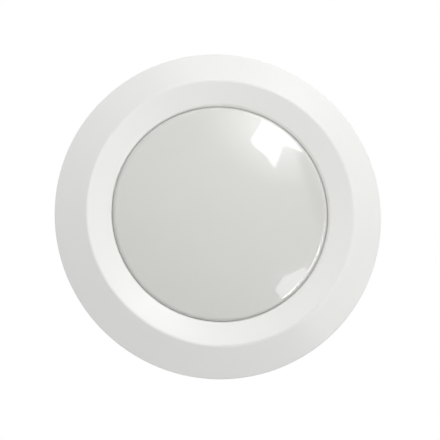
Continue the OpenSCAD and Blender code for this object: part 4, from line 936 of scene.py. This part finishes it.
def taped_winding():
    """The taped bundle between the bobbin's flanges: its ends bulge where the turns lie fuller."""
    levels = 9
    half_z = (WINDOW_Z[1] - WINDOW_Z[0]) / 2 - FLANGE_T
    middle = (WINDOW_Z[0] + WINDOW_Z[1]) / 2
    loops = []
    for lift in (-1 + 2 * j / (levels - 1) for j in range(levels)):
        full = 1 - 0.035 * lift * lift
        loops.append(winding_loop(8.1 * full, 9.7 * full, 0.45, 0.62, middle + half_z * lift))
    loops += [winding_loop(4.25, 6.25, 0.2, 0.2, middle + half_z * lift) for lift in (1, -1)]
    return lofted("taped_winding", loops, winding_tape())


on_body(taped_winding(), "housing", "yellow_tape", "transformer_winding")
for word, low in (("lower", WINDOW_Z[0]), ("upper", WINDOW_Z[1] - FLANGE_T)):
    flange = flat_plate(f"bobbin_{word}_flange", TRANSFORMER, FLANGE, 1.2, low, low + FLANGE_T, nylon,
                        FLANGE_HOLE)
    on_body(flange, "housing", "black_nylon")
for word, y in (("near", -8.5), ("far", 8.5)):
    foot = flat_plate(f"bobbin_{word}_foot", (TRANSFORMER[0], TRANSFORMER[1] + y), (16, 3), 0.5, BOARD_TOP,
                      WINDOW_Z[0] + 0.1, nylon)
    on_body(foot, "housing", "black_nylon")

# ---- the light sources

PACKAGE_SIZE = (3.5 * MM, 2.8 * MM, 0.74 * MM)
PACKAGE_Z, BODY_UP, FACE_DOWN = 6.0 * MM, 0.03 * MM, 0.35 * MM


def light_source_tree():
    """Rings of lamp packages, each a white body with a round yellow face looking down."""
    tree, given = new_tree("rings of light sources", [
        ("Inner radius", "NodeSocketFloat"), ("Ring step", "NodeSocketFloat"),
        ("Body finish", "NodeSocketMaterial"), ("Face finish", "NodeSocketMaterial")])
    body = add_node(tree, "GeometryNodeMeshCube", Size=PACKAGE_SIZE)
    up = add_node(tree, "GeometryNodeTransform", Geometry=body, Translation=(0, 0, BODY_UP))
    white = add_node(tree, "GeometryNodeSetMaterial", Geometry=up, Material=given["Body finish"])
    face = add_node(tree, "GeometryNodeMeshCylinder", Vertices=20, Radius=1.15 * MM, Depth=0.1 * MM)
    down = add_node(tree, "GeometryNodeTransform", Geometry=face.outputs["Mesh"],
                    Translation=(0, 0, -FACE_DOWN))
    yellow = add_node(tree, "GeometryNodeSetMaterial", Geometry=down, Material=given["Face finish"])
    package = add_node(tree, "GeometryNodeJoinGeometry", Geometry=white)
    tree.links.new(yellow.outputs[0], package.inputs[0])
    rings = add_node(tree, "GeometryNodeJoinGeometry")
    for k in range(3):
        radius = add_node(tree, "ShaderNodeMath", "MULTIPLY_ADD", i0=given["Ring step"], i1=float(k),
                          i2=given["Inner radius"])
        loop = add_node(tree, "GeometryNodeCurvePrimitiveCircle", Resolution=6 * (k + 1), Radius=radius)
        placed = add_node(tree, "GeometryNodeInputPosition")
        parts = add_node(tree, "ShaderNodeSeparateXYZ", i0=placed)
        turn = add_node(tree, "ShaderNodeMath", "ARCTAN2", i0=parts.outputs[1], i1=parts)
        spin = add_node(tree, "ShaderNodeCombineXYZ", i2=turn)
        ring = add_node(tree, "GeometryNodeInstanceOnPoints", Points=loop, Instance=package, Rotation=spin)
        tree.links.new(ring.outputs[0], rings.inputs[0])
    lifted = add_node(tree, "GeometryNodeTransform", Geometry=rings, Translation=(0, 0, PACKAGE_Z))
    real = add_node(tree, "GeometryNodeRealizeInstances", Geometry=lifted)
    add_node(tree, "NodeGroupOutput", Geometry=real)
    return tree


sources = evaluate("light_sources", path_object([[(0, 0, 0), (0, 0, 1)]]), light_source_tree(),
                   Inner_radius=17 * MM, Ring_step=15 * MM, Body_finish=light_body, Face_finish=phosphor)
on_body(sources, "housing", "light_source", "led_packages")
